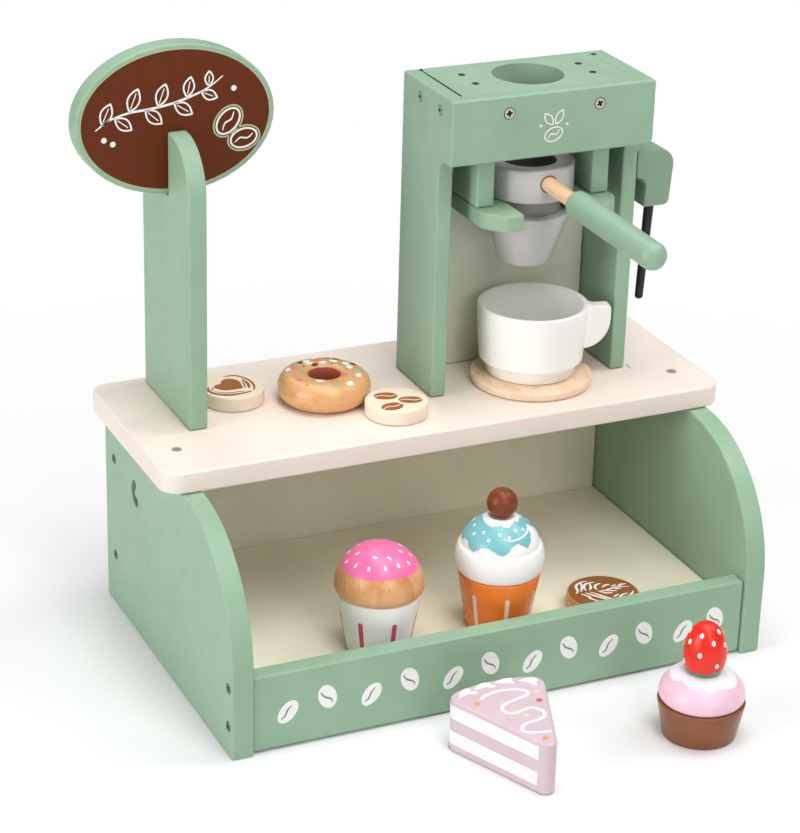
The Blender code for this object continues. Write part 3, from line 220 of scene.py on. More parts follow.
# CAD nodes that stay, with their finish
BOARD_LOOKS = {
    "green": ("left_side_panel", "right_side_panel", "machine_left_side", "machine_right_side",
              "machine_front_board", "left_hanger", "right_hanger", "fork_plate", "sign_post",
              "sign_board"),
    "rail_green": ("front_rail",), "top_green": ("machine_top_board",), "cream": ("counter_top",),
    "cream_inside": ("back_panel", "floor_board"), "cream_machine": ("machine_back_panel",),
    "wand_green": ("steam_wand_block",), "black": ("steam_wand_rod",), "cake": ("cake_slice",),
}


def soft_edge_group(angle):
    """Smooth shading that stays sharp where two faces meet at more than the angle."""
    group = bpy.data.node_groups.new("soft_edges", "GeometryNodeTree")
    for way in ("INPUT", "OUTPUT"):
        group.interface.new_socket("Geometry", in_out=way, socket_type="NodeSocketGeometry")
    start = add(group, "NodeGroupInput", {})
    meeting = add(group, "GeometryNodeInputMeshEdgeAngle", {})
    wide = add(group, "FunctionNodeCompare", {
        "A": meeting.outputs["Unsigned Angle"], "B": math.radians(angle)},
        data_type="FLOAT", operation="GREATER_THAN")
    faces = add(group, "GeometryNodeSetShadeSmooth", {"Geometry": start.outputs[0]})
    edges = add(group, "GeometryNodeSetShadeSmooth", {
        "Geometry": faces.outputs["Geometry"], "Selection": wide.outputs["Result"],
        "Shade Smooth": False}, domain="EDGE")
    add(group, "NodeGroupOutput", {0: edges.outputs["Geometry"]})
    return group


SOFT_EDGES = soft_edge_group(50)

for look_name, node_names in BOARD_LOOKS.items():
    for node_name in node_names:
        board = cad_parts[node_name]
        board.data.materials.clear()
        board.data.materials.append(LOOKS[look_name])
        board.modifiers.new("weld", "WELD").merge_threshold = 1e-6
        board.modifiers.new("soft_edges", "NODES").node_group = SOFT_EDGES
        board.modifiers.new("face_weighted", "WEIGHTED_NORMAL").keep_sharp = True


# Flat shapes: points in millimetres and the faces that tile them

def table(text):
    """Rows of numbers from text such as "1,2 3.5,4"."""
    return [tuple(float(number) for number in row.split(",")) for row in text.split()]


def smooth_line(points, steps=6, closed=False):
    """Points along a Catmull-Rom curve through the given ones."""
    out = []
    count = len(points)

    def knot(index):
        return points[index % count if closed else min(max(index, 0), count - 1)]

    for index in range(count if closed else count - 1):
        p0, p1, p2, p3 = (knot(index + k) for k in (-1, 0, 1, 2))
        for step in range(steps):
            t = step / steps
            out.append(tuple(0.5 * (2 * b + (c - a) * t + (2 * a - 5 * b + 4 * c - d) * t * t
                                    + (3 * b - a - 3 * c + d) * t ** 3)
                             for a, b, c, d in zip(p0, p1, p2, p3)))
    if not closed:
        out.append(tuple(points[-1]))
    return out


def filled(outline, *holes):
    """Any closed outline, with holes if given."""
    rings = [[Vector((a, b, 0)) for a, b in ring] for ring in (outline, *holes)]
    points = [tuple(p)[:2] for ring in rings for p in ring]
    return points, [tuple(face) for face in tessellate_polygon(rings)]


def moved(points, centre, turn):
    """Points turned by some degrees and carried to a centre."""
    turn = math.radians(turn)
    return [(centre[0] + a * math.cos(turn) - b * math.sin(turn),
             centre[1] + a * math.sin(turn) + b * math.cos(turn)) for a, b in points]


def oval(centre, half_length, half_width, turn=0.0, steps=20):
    angles = [math.tau * step / steps for step in range(steps)]
    return moved([(half_length * math.cos(angle), half_width * math.sin(angle))
                  for angle in angles], centre, turn)


def fan(outline):
    count = len(outline)
    centre = (sum(p[0] for p in outline) / count, sum(p[1] for p in outline) / count)
    return outline + [centre], [(i, (i + 1) % count, count) for i in range(count)]


def stroke(points, width, cap=4, taper=None):
    """A line of the given width with round ends; taper gives the width's share at each end."""
    count = len(points)
    left, right = [], []
    for index, point in enumerate(points):
        before = points[max(index - 1, 0)]
        after = points[min(index + 1, count - 1)]
        dx, dy = after[0] - before[0], after[1] - before[1]
        size = math.hypot(dx, dy) or 1.0
        half = width / 2
        if taper:
            share = index / (count - 1)
            half *= taper[0] + (1 - taper[0]) * min(1.0, share * 3) if share < 0.5 else \
                taper[1] + (1 - taper[1]) * min(1.0, (1 - share) * 3)
        nx, ny = -dy / size * half, dx / size * half
        left.append((point[0] + nx, point[1] + ny))
        right.append((point[0] - nx, point[1] - ny))
    tile_points = left + right
    faces = [(i, count + i, count + i + 1, i + 1) for i in range(count - 1)]
    for end, (first, second) in ((0, (0, count)), (count - 1, (2 * count - 1, count - 1))):
        centre = points[end]
        start = tile_points[first]
        radius = math.hypot(start[0] - centre[0], start[1] - centre[1])
        angle = math.atan2(start[1] - centre[1], start[0] - centre[0])
        ring = [first]
        for step in range(1, cap):
            turned = angle + math.pi * step / cap
            ring.append(len(tile_points))
            tile_points.append((centre[0] + radius * math.cos(turned),
                                centre[1] + radius * math.sin(turned)))
        ring.append(second)
        faces.append(tuple(ring))
    return tile_points, faces


# Surfaces that flat shapes are laid on: (a, b, height) in millimetres to a point

def flat(origin, across, up, out):
    origin, across, up, out = Vector(origin), Vector(across), Vector(up), Vector(out)
    return lambda a, b, height: at(*(origin + across * a + up * b + out * height))


def facing(across, up, out):
    return lambda x, y, z: flat((x, y, z), across, up, out)


front_face = facing((1, 0, 0), (0, 0, 1), (0, -1, 0))
top_face = facing((1, 0, 0), (0, 1, 0), (0, 0, 1))
left_face = facing((0, -1, 0), (0, 0, 1), (-1, 0, 0))
right_face = facing((0, 1, 0), (0, 0, 1), (1, 0, 0))

# Length along a profile at which a closed coat's innermost ring lies
MIDDLE_RING = 0.3


class Turned:
    """Surface turned about a vertical axis, from profile points (radius, height), top first."""

    def __init__(self, x, y, profile):
        self.x, self.y, self.profile = x, y, profile
        self.lengths = [0.0]
        for (r0, z0), (r1, z1) in zip(profile, profile[1:]):
            self.lengths.append(self.lengths[-1] + math.hypot(r1 - r0, z1 - z0))

    def along(self, index, value):
        """Length along the profile where the radius (0) or height (1) first passes a value."""
        for k, (p, q) in enumerate(zip(self.profile, self.profile[1:])):
            low, high = sorted((p[index], q[index]))
            if low <= value <= high and high > low:
                share = (value - p[index]) / (q[index] - p[index])
                return self.lengths[k] + share * (self.lengths[k + 1] - self.lengths[k])
        return self.lengths[-1]

    def spot(self, length):
        """The part of the profile at a length, and the share of that part that is passed."""
        k = min(max(bisect.bisect_right(self.lengths, length) - 1, 0), len(self.profile) - 2)
        return k, (length - self.lengths[k]) / (self.lengths[k + 1] - self.lengths[k])

    def point(self, angle, length, height):
        k, share = self.spot(min(max(length, 0.0), self.lengths[-1]))
        (r0, z0), (r1, z1) = self.profile[k], self.profile[k + 1]
        before = self.profile[max(k - 1, 0)]
        after = self.profile[min(k + 2, len(self.profile) - 1)]
        first = (r1 - before[0], z1 - before[1])
        second = (after[0] - r0, after[1] - z0)
        tr, tz = (p + (q - p) * share for p, q in zip(first, second))
        size = math.hypot(tr, tz)
        radius = r0 + (r1 - r0) * share + -tz / size * height
        z = z0 + (z1 - z0) * share + tr / size * height
        return at(self.x + radius * math.cos(angle), self.y + radius * math.sin(angle), z)

    def patch(self, degrees, length):
        """Local frame: a runs round to the right seen from outside, b runs up the slope."""
        k, share = self.spot(length)
        (r0, _), (r1, _) = self.profile[k], self.profile[k + 1]
        radius = max(r0 + (r1 - r0) * share, 1.0)
        return lambda a, b, height: self.point(math.radians(degrees) + a / radius, length - b,
                                               height)

    def whole(self):
        """Frame in which a is the angle in degrees and b the length along the profile."""
        return lambda a, b, height: self.point(math.radians(a), b, height)


def band(surface, top, bottom, columns, rows):
    """Coat all round between two heights, each a number or a function of the angle in degrees.

    Without a top it closes over the middle of the surface."""
    def length(edge, angle):
        return surface.along(1, edge(angle) if callable(edge) else edge)

    points, faces = [], []
    for row in range(rows + 1):
        for column in range(columns):
            angle = 360 * column / columns
            low = length(bottom, angle)
            high = length(top, angle) if top else MIDDLE_RING
            points.append((angle, high + (low - high) * row / rows))
    for row in range(rows):
        for column in range(columns):
            right = (column + 1) % columns
            a, b = row * columns, (row + 1) * columns
            faces.append((a + column, b + column, b + right, a + right))
    if not top:
        faces.append(tuple(range(columns - 1, -1, -1)))
    return points, faces


def wave(text):
    """Closed smooth curve through a table of angles and values."""
    knots = sorted((a % 360, v) for a, v in table(text))
    knots = [(a + turn, v) for turn in (-360, 0, 360) for a, v in knots]

    def value(angle):
        for (a0, v0), (a1, v1) in zip(knots, knots[1:]):
            if a0 <= angle <= a1:
                t = (angle - a0) / (a1 - a0)
                t = t * t * (3 - 2 * t)
                return v0 + (v1 - v0) * t
    return value


# Pieces

def mesh_object(name, verts, faces, material, body, smooth=None):
    mesh = bpy.data.meshes.new(name)
    mesh.from_pydata(verts, [], faces)
    work = bmesh.new()
    work.from_mesh(mesh)
    bmesh.ops.recalc_face_normals(work, faces=work.faces)
    work.to_mesh(mesh)
    work.free()
    mesh.materials.append(material)
    if smooth:
        mesh.shade_smooth()
        mesh.set_sharp_from_angle(angle=math.radians(smooth))
    piece = bpy.data.objects.new(name, mesh)
    bpy.context.scene.collection.objects.link(piece)
    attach(piece, body)
    return piece


def laid(name, tiles, place, material, body, lift=0.12, sink=0.35, smooth=40):
    """Thin slabs on a surface: a tile is (points, faces), or a pair of a tile and its own place."""
    verts, faces = [], []
    for tile in tiles:
        own = place
        if callable(tile[1]):
            tile, own = tile
        points, tops = tile
        base, count = len(verts), len(points)
        verts += [own(a, b, height) for height in (lift, -sink) for a, b in points]
        edges = {}
        for face in tops:
            for first, second in zip(face, face[1:] + face[:1]):
                key = (min(first, second), max(first, second))
                edges[key] = None if key in edges else (first, second)
            faces.append(tuple(base + index for index in face))
            faces.append(tuple(base + count + index for index in reversed(face)))
        for first, second in filter(None, edges.values()):
            faces.append((base + second, base + first, base + count + first,
                          base + count + second))
    mesh_object(name, verts, faces, material, body, smooth)


def coated(name, surface, top, bottom, columns, rows, material, body, lift=0.12):
    laid(name, [band(surface, top, bottom, columns, rows)], surface.whole(), material, body, lift)


def scattered(name, surface, tile, places, material, body, index=1, **slab):
    """One small tile at places (angle, height) round a turned surface; index 0 takes radii."""
    laid(name, [(tile, surface.patch(angle, surface.along(index, value)))
                for angle, value in places], None, material, body, **slab)


# Turned pieces, finer than their CAD nodes

def bend(centre, radius, start, end, steps=6, rise=None):
    """Arc in a profile, angles in degrees; a rise makes it an ellipse's."""
    out = []
    for step in range(steps + 1):
        angle = math.radians(start + (end - start) * step / steps)
        out.append((centre[0] + radius * math.cos(angle),
                    centre[1] + (rise or radius) * math.sin(angle)))
    return out


def hump(centre, reach, rise, step, count):
    """Profile points down an ellipse from its top, by steps in degrees."""
    angles = [math.radians(step * k) for k in range(count)]
    return [(centre[0] + reach * math.sin(angle), centre[1] + rise * math.cos(angle))
            for angle in angles]


def upright(x, y):
    return lambda radius, angle, height: at(x + radius * math.cos(angle),
                                            y + radius * math.sin(angle), height)


def along(start, direction):
    axis = Vector(direction).normalized()
    side = Vector((0, 0, 1)).cross(axis).normalized()
    third = axis.cross(side)
    return lambda radius, angle, length: at(*(
        Vector(start) + axis * length + side * radius * math.cos(angle)
        + third * radius * math.sin(angle)))


def lathe(node, profile, place, look, body, steps=96):
    """Turned piece in place of a CAD node, from (radius, height) points with the top first."""
    verts, faces, rings = [], [], []
    for radius, height in profile:
        if radius < 0.001:
            rings.append([len(verts)] * steps)
            verts.append(place(0.0, 0.0, height))
        else:
            rings.append([len(verts) + k for k in range(steps)])
            verts += [place(radius, math.tau * k / steps, height) for k in range(steps)]
    pairs = list(zip(rings, rings[1:]))
    if profile[0][0] > 0.001:
        pairs.append((rings[-1], rings[0]))
    for upper, lower in pairs:
        for k in range(steps):
            n = (k + 1) % steps
            faces.append(tuple(dict.fromkeys((upper[k], lower[k], lower[n], upper[n]))))
    piece = mesh_object(node + "_turned", verts, faces, LOOKS[look], body, 38)
    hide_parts(node)


def disc(radius, low, high, edge):
    return ([(0.0, high)] + bend((radius - edge, high - edge), edge, 90, 0, 4)
            + bend((radius - edge, low + edge), edge, 0, -90, 4) + [(0.0, low)])


def case(top_radius, bottom_radius, low, high):
    """Plain tapered cupcake case with rounded edges."""
    lean = math.degrees(math.atan2(top_radius - bottom_radius, high - low))
    return ([(0.0, high)] + bend((top_radius - 1.0, high - 1.0), 1.0, 90, -lean, 5)
            + bend((bottom_radius - 0.6, low + 1.0), 1.0, -lean, -90, 5) + [(0.0, low)])


# Portafilter: its axis, then the handle's axis out of the ring
FILTER_AT = (232.8, 133.5)
HANDLE_TURN = math.radians(-0.8)
HANDLE_AXIS = (math.sin(HANDLE_TURN), -math.cos(HANDLE_TURN), 0.0)
HANDLE_START = (*FILTER_AT, 265.1)
BASKET = ([(0.0, 257.8)] + bend((14.8, 259.0), 1.2, -90, 0, 4)
          + bend((17.2, 271.6), 1.2, 180, 90, 4)
          + bend((25.0, 271.3), 1.5, 90, 0) + bend((25.2, 254.6), 1.3, 0, -90)
          + bend((20.0, 252.85), 0.45, 90, 180, 3) + bend((20.0, 243.15), 0.45, 180, 270, 3)
          + bend((23.3, 241.2), 1.5, 90, -16) + bend((13.15, 214.1), 3.0, -16, -90)
          + [(0.0, 211.1)])
GRIP = hump((0, 148.6), 7.8, 6.8, 9, 11) + bend((4.3, 63.2), 3.5, 0, -90) + [(0.0, 59.7)]
DOWEL = [(0.0, 94.7), (4.4, 94.7), (4.4, 20.5), (0.0, 20.5)]

# Cup, from its floor over the rim to its foot
CUP_BASE = 143.2
CUP_AT = (237.5, 128.4)
CUP = [(r, CUP_BASE + z) for r, z in (
    [(0.0, 4.8)] + bend((22.9, 8.8), 4.0, -90, 0) + [(28.6, 22.5), (29.2, 32.0)]
    + bend((31.2, 40.8), 1.6, 180, 0, 10)
    + [(32.45, 34.0), (32.1, 28.0), (31.8, 22.5), (31.4, 17.0), (30.95, 12.6)]
    + bend((28.3, 9.9), 2.6, 10, -78, 8) + bend((27.7, 6.35), 1.1, 100, 180, 4)
    + bend((25.7, 0.8), 0.8, 0, -90, 3) + [(0.0, 0.0)])]

# Axes of the loose turned pieces
PINK_AT = (103.95, 43.2)
BLUE_AT = (178.2, 42.1)
BERRY_AT = (250.3, -67.2)
DONUT_AT = (110.7, 141.0)
HEART_AT = (61.1, 158.2)
BEAN_AT = (141.3, 107.2)
FERN_AT = (244.86, 37.8)

# Underside and top of the discs on the counter and of the one on the shelf
COUNTER_DISC = (137.9, 146.4)
SHELF_DISC = (27.7, 36.2)

# Profiles of the treats
DOME = hump((0, 66.8), 25.4, 24.3, 3, 31) + [(25.3, 65.8), (24.9, 64.7), (24.2, 63.8),
                                               (22.7, 63.2), (0.0, 63.2)]
CROWN = [(22.2 - 14.4 * (1 - k / 28) ** 2, 96.6 - 16.8 * k / 28) for k in range(29)]
FROSTING = ([(0.0, 94.6), (4.0, 95.2), (6.7, 96.4)] + CROWN
            + bend((22.7, 71.5), 2.8, 72, -90, 27, 8.3) + [(0.0, 63.2)])
ICING = ([(0.0, 38.6)] + hump((8.5, 25.3), 15.4, 13.3, 4.5, 21)
         + [(23.75, 24.2), (23.3, 23.1), (22.4, 22.1), (0.0, 22.1)])
BERRY = (hump((0, 50.4), 12.0, 18.5, 4.5, 21)
         + [(7.5 + 4.5 * math.cos(math.radians(a)), 38.9 + 11.5 * (1 - math.sin(math.radians(a))))
            for a in range(9, 91, 9)] + [(0.0, 38.9)])
BALL = hump((0, 104.2), 8.8, 8.8, 6, 31)
BALL[0], BALL[-1] = (0.0, 113.0), (0.0, 95.4)


def donut_point(degrees):
    """Section of the ring, round outside and with a tighter lip at the hole, at 180 degrees."""
    cosine, sine = math.cos(math.radians(degrees)), math.sin(math.radians(degrees))
    reach, power, rise = (9.15, 0.88, 0.88) if cosine > 0 else (9.6, 0.42, 0.64)
    return (17.85 + reach * math.copysign(abs(cosine) ** power, cosine),
            146.5 + 8.6 * math.copysign(abs(sine) ** rise, sine))


DONUT = [donut_point(180 - 4 * k) for k in range(90)]
WHITE_CASE = case(23.7, 17.7, 27.7, 62.9)
BROWN_CASE = case(24.4, 20.2, 0.0, 21.8)

lathe("portafilter_basket", BASKET, upright(*FILTER_AT), "grey", "portafilter")
BOWL = Turned(*FILTER_AT, BASKET[:11])
# Dark coat inside the basket's bowl: painted shade under the machine's front board
coated("basket_bowl_shade", BOWL, None, 271.8, 96, 12, ink("bowl_painted_shade", "5c5c56", 0.5),
       "portafilter", lift=0.1)
# Darker grey band round the basket's neck: painted shade under the ring
NECK = Turned(*FILTER_AT, [(19.55, 253.3), (19.55, 242.7)])
coated("basket_neck_shade", NECK, 252.7, 243.3, 96, 3, gloss_paint("neck_painted_shade", "84837e", 0.34),
       "portafilter", lift=0.08)
HANDLE = along(HANDLE_START, HANDLE_AXIS)
lathe("portafilter_dowel", DOWEL, HANDLE, "dowel", "portafilter", 48)

# Dark line on the ring, round the hole that the dowel goes in: painted shade where the dowel meets
# the ring
RING_RADIUS = 26.5
HOLE_STEPS = 40
ring_place = flat(HANDLE_START, HANDLE_AXIS, (HANDLE_AXIS[1], -HANDLE_AXIS[0], 0.0), (0, 0, 1))
hole_points = []
for step in range(HOLE_STEPS):
    angle = math.tau * step / HOLE_STEPS
    for reach in (4.5, 5.25):
        across = reach * math.cos(angle)
        depth = math.sqrt(RING_RADIUS ** 2 - across ** 2) + 0.06
        hole_points.append(ring_place(depth, across, reach * math.sin(angle)))
hole_faces = [(k, k + 1, (k + 3) % len(hole_points), (k + 2) % len(hole_points))
              for k in range(0, len(hole_points), 2)]
mesh_object("dowel_hole_shade", hole_points, hole_faces,
            ink("hole_edge_shade", "765446", 0.6), "portafilter")
lathe("portafilter_grip", GRIP, HANDLE, "grip", "portafilter", 64)

# The pivot screw has its head sunk almost flush in the machine's right side
PIVOT_PIN = [(0.0, -0.2), (3.2, -0.2), (3.4, 0.0), (1.9, 0.0), (1.9, 18.8), (0.0, 18.8)]
PIVOT = along((287.2, 129.0, 264.5), (1, 0, 0))
lathe("steam_wand_pivot", PIVOT_PIN, PIVOT, "green", "steam_wand", 32)
for node_name, profile, place, *about in (
        ("saucer", disc(36.2, 137.9, 142.9, 1.4), (236.8, 125.5), "beech", "saucer"),
        ("cup", CUP, CUP_AT, "white", "cup", 128),
        ("heart_disc", disc(18.0, *COUNTER_DISC, 0.8), HEART_AT, "disc", "heart_disc"),
        ("bean_disc", disc(18.2, *COUNTER_DISC, 0.8), BEAN_AT, "disc", "bean_disc"),
        ("fern_disc", disc(21.3, *SHELF_DISC, 0.8), FERN_AT, "fern_wood", "fern_disc"),
        ("donut", DONUT, DONUT_AT, "donut", "donut"),
        ("pink_cupcake_case", WHITE_CASE, PINK_AT, "case_white", "pink_cupcake"),
        ("pink_cupcake_top", DOME, PINK_AT, "dome", "pink_cupcake"),
        ("blue_cupcake_case", WHITE_CASE, BLUE_AT, "case_orange", "blue_cupcake"),
        ("blue_cupcake_frosting", FROSTING, BLUE_AT, "frosting", "blue_cupcake"),
        ("blue_cupcake_ball", BALL, BLUE_AT, "chocolate", "blue_cupcake", 64),
        ("strawberry_cupcake_case", BROWN_CASE, BERRY_AT, "case_brown", "strawberry_cupcake"),
        ("strawberry_cupcake_icing", ICING, BERRY_AT, "icing", "strawberry_cupcake"),
        ("strawberry", BERRY, BERRY_AT, "berry", "strawberry_cupcake", 64)):
    lathe(node_name, profile, upright(*place), *about)


def cup_ear():
    """Flat ear of the cup with round edges; its root ends inside the cup's wall."""
    top, bottom = 39.3, 12.5
    outline = [(30.6, top + 2.4), (32.6, top + 2.2), (33.3, top + 1.3), (34.4, top + 0.6),
               (36.0, top + 0.15), (38.2, top)]
    outline += bend((44.2, top - 2.4), 2.4, 90, 0, 5)
    outline += bend((30.1, top - 9.0), 16.5, 0, -90, 10, 17.8) + [(29.6, bottom)]
    turn, half = -15, 3.6
    verts = []
    for side in (-half, half):
        for a, b in outline:
            verts.append(at(*moved([(a, side)], CUP_AT, turn)[0], CUP_BASE + b))
    count = len(outline)
    faces = [tuple(range(count)), tuple(range(2 * count - 1, count - 1, -1))]
    faces += [(k, (k + 1) % count, count + (k + 1) % count, count + k) for k in range(count)]
    piece = mesh_object("cup_ear", verts, faces, LOOKS["white"], "cup", 50)
    rounding = piece.modifiers.new("round_edges", "BEVEL")
    rounding.width, rounding.segments = 0.0014, 4
    rounding.limit_method, rounding.angle_limit = "ANGLE", math.radians(50)
    rounding.harden_normals = True
    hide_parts("cup")


cup_ear()


# Inks

BROWN_PRINT = ink("brown_print", "a0653e")
WHITE_PRINT = ink("white_print", "f4f3f0")
BEAN_SLIT = ink("bean_slit", "7a847e")

# Coffee beans on the rail, leaning right and left in turn
RAIL_BEANS = table("""
    32.7,22.4 55.9,26.9 82.1,22.8 105.1,27.3 131.6,22.6 154.5,27 181,22.5 203.8,26.9 229.7,22.7
    252.5,26.3 278.3,22.2 299.4,26.4""")
RAIL_FACE = front_face(0, 1.9, 0)


def bean(centre, half_length, half_width, turn):
    """Bean outline, a little fuller at one end."""
    angles = [math.tau * step / 28 for step in range(28)]
    return moved([(half_length * math.cos(angle),
                   half_width * math.sin(angle) * (1 + 0.025 * math.cos(angle)))
                  for angle in angles], centre, turn)


RIGHT_CREASE = table("-3.8,-3.6 -2.05,-2.65 -1,-0.65 -0.15,1.4 2.2,3.75")
LEFT_CREASE = table("-3.9,3.2 -3.3,1.95 -1.95,0.45 -0.35,-0.5 1.25,-1.2 2.45,-2.2 3.2,-3.6")
bean_tiles, slit_tiles = [], []
for number, (x, z) in enumerate(RAIL_BEANS):
    turn, width, crease = (110, 5.3, LEFT_CREASE) if number % 2 else (52, 4.9, RIGHT_CREASE)
    bean_tiles.append(fan(bean((x, z), 7.6, width, turn)))
    slit_tiles.append(stroke(moved(smooth_line(crease), (x, z), 0), 1.0, taper=(0.6, 0.5)))
laid("rail_beans", bean_tiles, RAIL_FACE, WHITE_PRINT, "stand")
laid("rail_bean_slits", slit_tiles, RAIL_FACE, BEAN_SLIT, "stand", lift=0.18)


# Screws

# Near-black ink for screw rims, the top seam and the counter slit: painted shade in recesses
RECESS_SHADE = ink("recess_painted_shade", "241c18", 0.6)
PAINTED_HEAD = board_paint("painted_screw", "587462", 0.4)
SUNK_HEAD = board_paint("sunk_screw", "425848", 0.5)


def screw(name, place, radius, head, turn, rim=RECESS_SHADE):
    """Countersunk head in a rim, with a real cross recess over the rim's floor; the dark rim and
    floor are painted shade of the countersink.
    """
    size, arm = radius * 0.64, radius * 0.24
    cross = [(arm, arm), (size, arm), (size, -arm)]
    for _ in range(3):
        cross += [(b, -a) for a, b in cross[-3:]]
    laid(name + "_rim", [fan(oval((0, 0), radius * 1.16, radius * 1.16, steps=28))], place,
         rim, "stand", lift=0.05)
    laid(name + "_head", [filled(oval((0, 0), radius, radius, steps=28),
                                 moved(cross, (0, 0), turn))], place, head, "stand", lift=0.28)


# Faces that the screws are in
CABINET_RIGHT = 330
MACHINE_LEFT, MACHINE_RIGHT = 168.8, 296.8
MACHINE_FRONT = 104.4
MACHINE_TOP = 320.7
COUNTER_TOP = 137.6
PALE_HEAD = board_paint("pale_screw", "cec0b6", 0.34)
for number, (y, z) in enumerate(((193, 95.6), (193, 32.9), (6.3, 41.3), (6.8, 17.7))):
    screw("left_screw_%d" % number, left_face(0, y, z), 2.6, PAINTED_HEAD, 15 + 25 * number)
    screw("right_screw_%d" % number, right_face(CABINET_RIGHT, y, z), 2.6, PAINTED_HEAD,
          40 + 25 * number)
for number, x in enumerate((204, 260.8)):
    screw("front_screw_%d" % number, front_face(x, MACHINE_FRONT, 310.6), 3.0, PALE_HEAD,
          10 + 20 * number)
# Lighter rim for the screws in the counter top: painted shade of their countersinks
COUNTER_RIM_SHADE = ink("counter_screw_rim", "84786e", 0.5)
COUNTER_HEAD = board_paint("counter_screw_head", "a8a096", 0.4)
for side, x, y, radius, turn in (("left", 8, 106.7, 2.5, 20), ("right", 320.9, 105.0, 2.7, 50)):
    screw("counter_screw_" + side, top_face(x, y, COUNTER_TOP), radius, COUNTER_HEAD, turn,
          COUNTER_RIM_SHADE)
for number, (x, y) in enumerate(((196, 132), (196, 150), (269.4, 130), (269.4, 148))):
    screw("top_screw_%d" % number, top_face(x, y, MACHINE_TOP), 1.9, SUNK_HEAD, 15 * number)
screw("top_screw_rear", top_face(287, 162, MACHINE_TOP), 1.5, SUNK_HEAD, 30)
for number, (y, z) in enumerate(((146.3, 311.9), (120.1, 311.7))):
    screw("machine_screw_%d" % number, left_face(MACHINE_LEFT, y, z), 2.6, LOOKS["green"],
          20 * number)
    screw("machine_screw_right_%d" % number, right_face(MACHINE_RIGHT, y, z), 2.6,
          LOOKS["green"], 45)


# Paint that fills the seams between the machine's front board and what it is nailed to, and
# the one at the right end of the top board

def paint_fill(name, low, high):
    corners = [(x, y, z) for z in (low[2], high[2]) for y in (low[1], high[1])
               for x in (low[0], high[0])]
    faces = [(0, 2, 3, 1), (4, 5, 7, 6), (0, 1, 5, 4), (2, 6, 7, 3), (0, 4, 6, 2), (1, 3, 7, 5)]
    mesh_object(name, [at(*corner) for corner in corners], faces, LOOKS["green"], "stand")


SEAM_FRONT, SEAM_REAR = 109.4, 112.6
paint_fill("seam_paint_left", (168.82, SEAM_FRONT, 283.6), (170.3, SEAM_REAR, 319.9))
paint_fill("seam_paint_right", (295.3, SEAM_FRONT, 283.6), (296.78, SEAM_REAR, 319.9))
paint_fill("seam_paint_top", (169.6, SEAM_FRONT, 319.2), (296.0, SEAM_REAR, 320.68))
paint_fill("seam_paint_right_top", (286.0, SEAM_FRONT, 319.2), (288.5, 168.6, 320.7))

# Painted shade in the open seam at the left of the top board, and in a slit in the counter beside
# the right leg
SEAM = table("178.45,113.4 178.45,140 178.45,167.6")
SLIT = table("299.9,116.6 300.2,120.3 300.6,124.1")
laid("top_seam", [stroke(SEAM, 0.55, taper=(0.5, 0.05)), fan(oval((178.6, 167.0), 1.5, 1.1))],
     top_face(0, 0, MACHINE_TOP - 0.1), RECESS_SHADE, "stand", lift=0.06)
laid("counter_slit", [stroke(SLIT, 0.5, taper=(0.2, 0.6))], top_face(0, 0, COUNTER_TOP),
     RECESS_SHADE, "stand", lift=0.05)


# Sign and machine front, with motifs of their own

def leaf(base, degrees, length, half_width, inset=0.0):
    """Pointed leaf outline that grows from its base."""
    out = []
    for step in range(25):
        share = step / 12 if step <= 12 else 2 - step / 12
        side = 1 if step <= 12 else -1
        half = (half_width - inset) * math.sin(math.pi * share) ** 0.85
        out.append((inset * 1.6 + (length - 3.2 * inset) * share, side * half))
    return moved(out[:-1], base, degrees)


def leaf_ring(base, degrees, length, half_width, line):
    return filled(leaf(base, degrees, length, half_width),
                  leaf(base, degrees, length, half_width, line))


def oval_ring(centre, half_length, half_width, line, turn):
    return filled(*(oval(centre, half_length + half, half_width + half, turn, 40)
                    for half in (line / 2, -line / 2)))


def bean_line(centre, length, turn, width):
    """S-shaped crease of a bean."""
    points = smooth_line([(-length, -0.9), (-length * 0.35, 0.7), (length * 0.35, -0.7),
                          (length, 0.9)])
    return stroke(moved(points, centre, turn), width, taper=(0.5, 0.5))


SIGN_BROWN = ink("sign_brown", "642d11")
SIGN_TAN = ink("sign_tan", "b0be96", 0.4)
SIGN_FACE = front_face(28.4, 159.3, 309.5)
laid("sign_line", [fan(oval((0, 0), 55.0, 39.8, steps=96))], SIGN_FACE, SIGN_TAN, "sign", lift=0.06)
laid("sign_field", [fan(oval((0, 0), 54.4, 39.2, steps=96))], SIGN_FACE, SIGN_BROWN, "sign")

SPRIG = smooth_line(table("-46,-1.5 -38,3.5 -27,6.5 -15,7.5 -3,9.2 9,12.4 19,16.5 27,22"), 8)
sprig_tiles = [stroke(SPRIG, 1.3, taper=(0.5, 0.4))]
SPRIG_LEAVES = table("""
    4,66,13.5,3.7 10,-38,13,3.6 16,68,14.5,3.9 22,-42,13.5,3.8 27,70,14,3.8 33,-34,13.5,3.7
    38,78,12.5,3.5 44,-24,11,3.2 48,88,9.5,2.8""")
for index, turn, length, half in SPRIG_LEAVES:
    base = SPRIG[int(index)]
    sprig_tiles.append(leaf_ring(base, turn, length, half, 0.9))
    rib = [(2.6, 0.0), (length * 0.45, 0.0), (length - 3.4, 0.0)]
    sprig_tiles.append(stroke(moved(rib, base, turn), 0.55))
for centre in ((-41.5, -7.5), (-36.5, -10.2), (33.5, 14.5)):
    sprig_tiles.append(fan(oval(centre, 1.6, 1.6)))
laid("sign_sprig", sprig_tiles, SIGN_FACE, WHITE_PRINT, "sign", lift=0.2, sink=0.1)
bean_outline, bean_glow = [], []
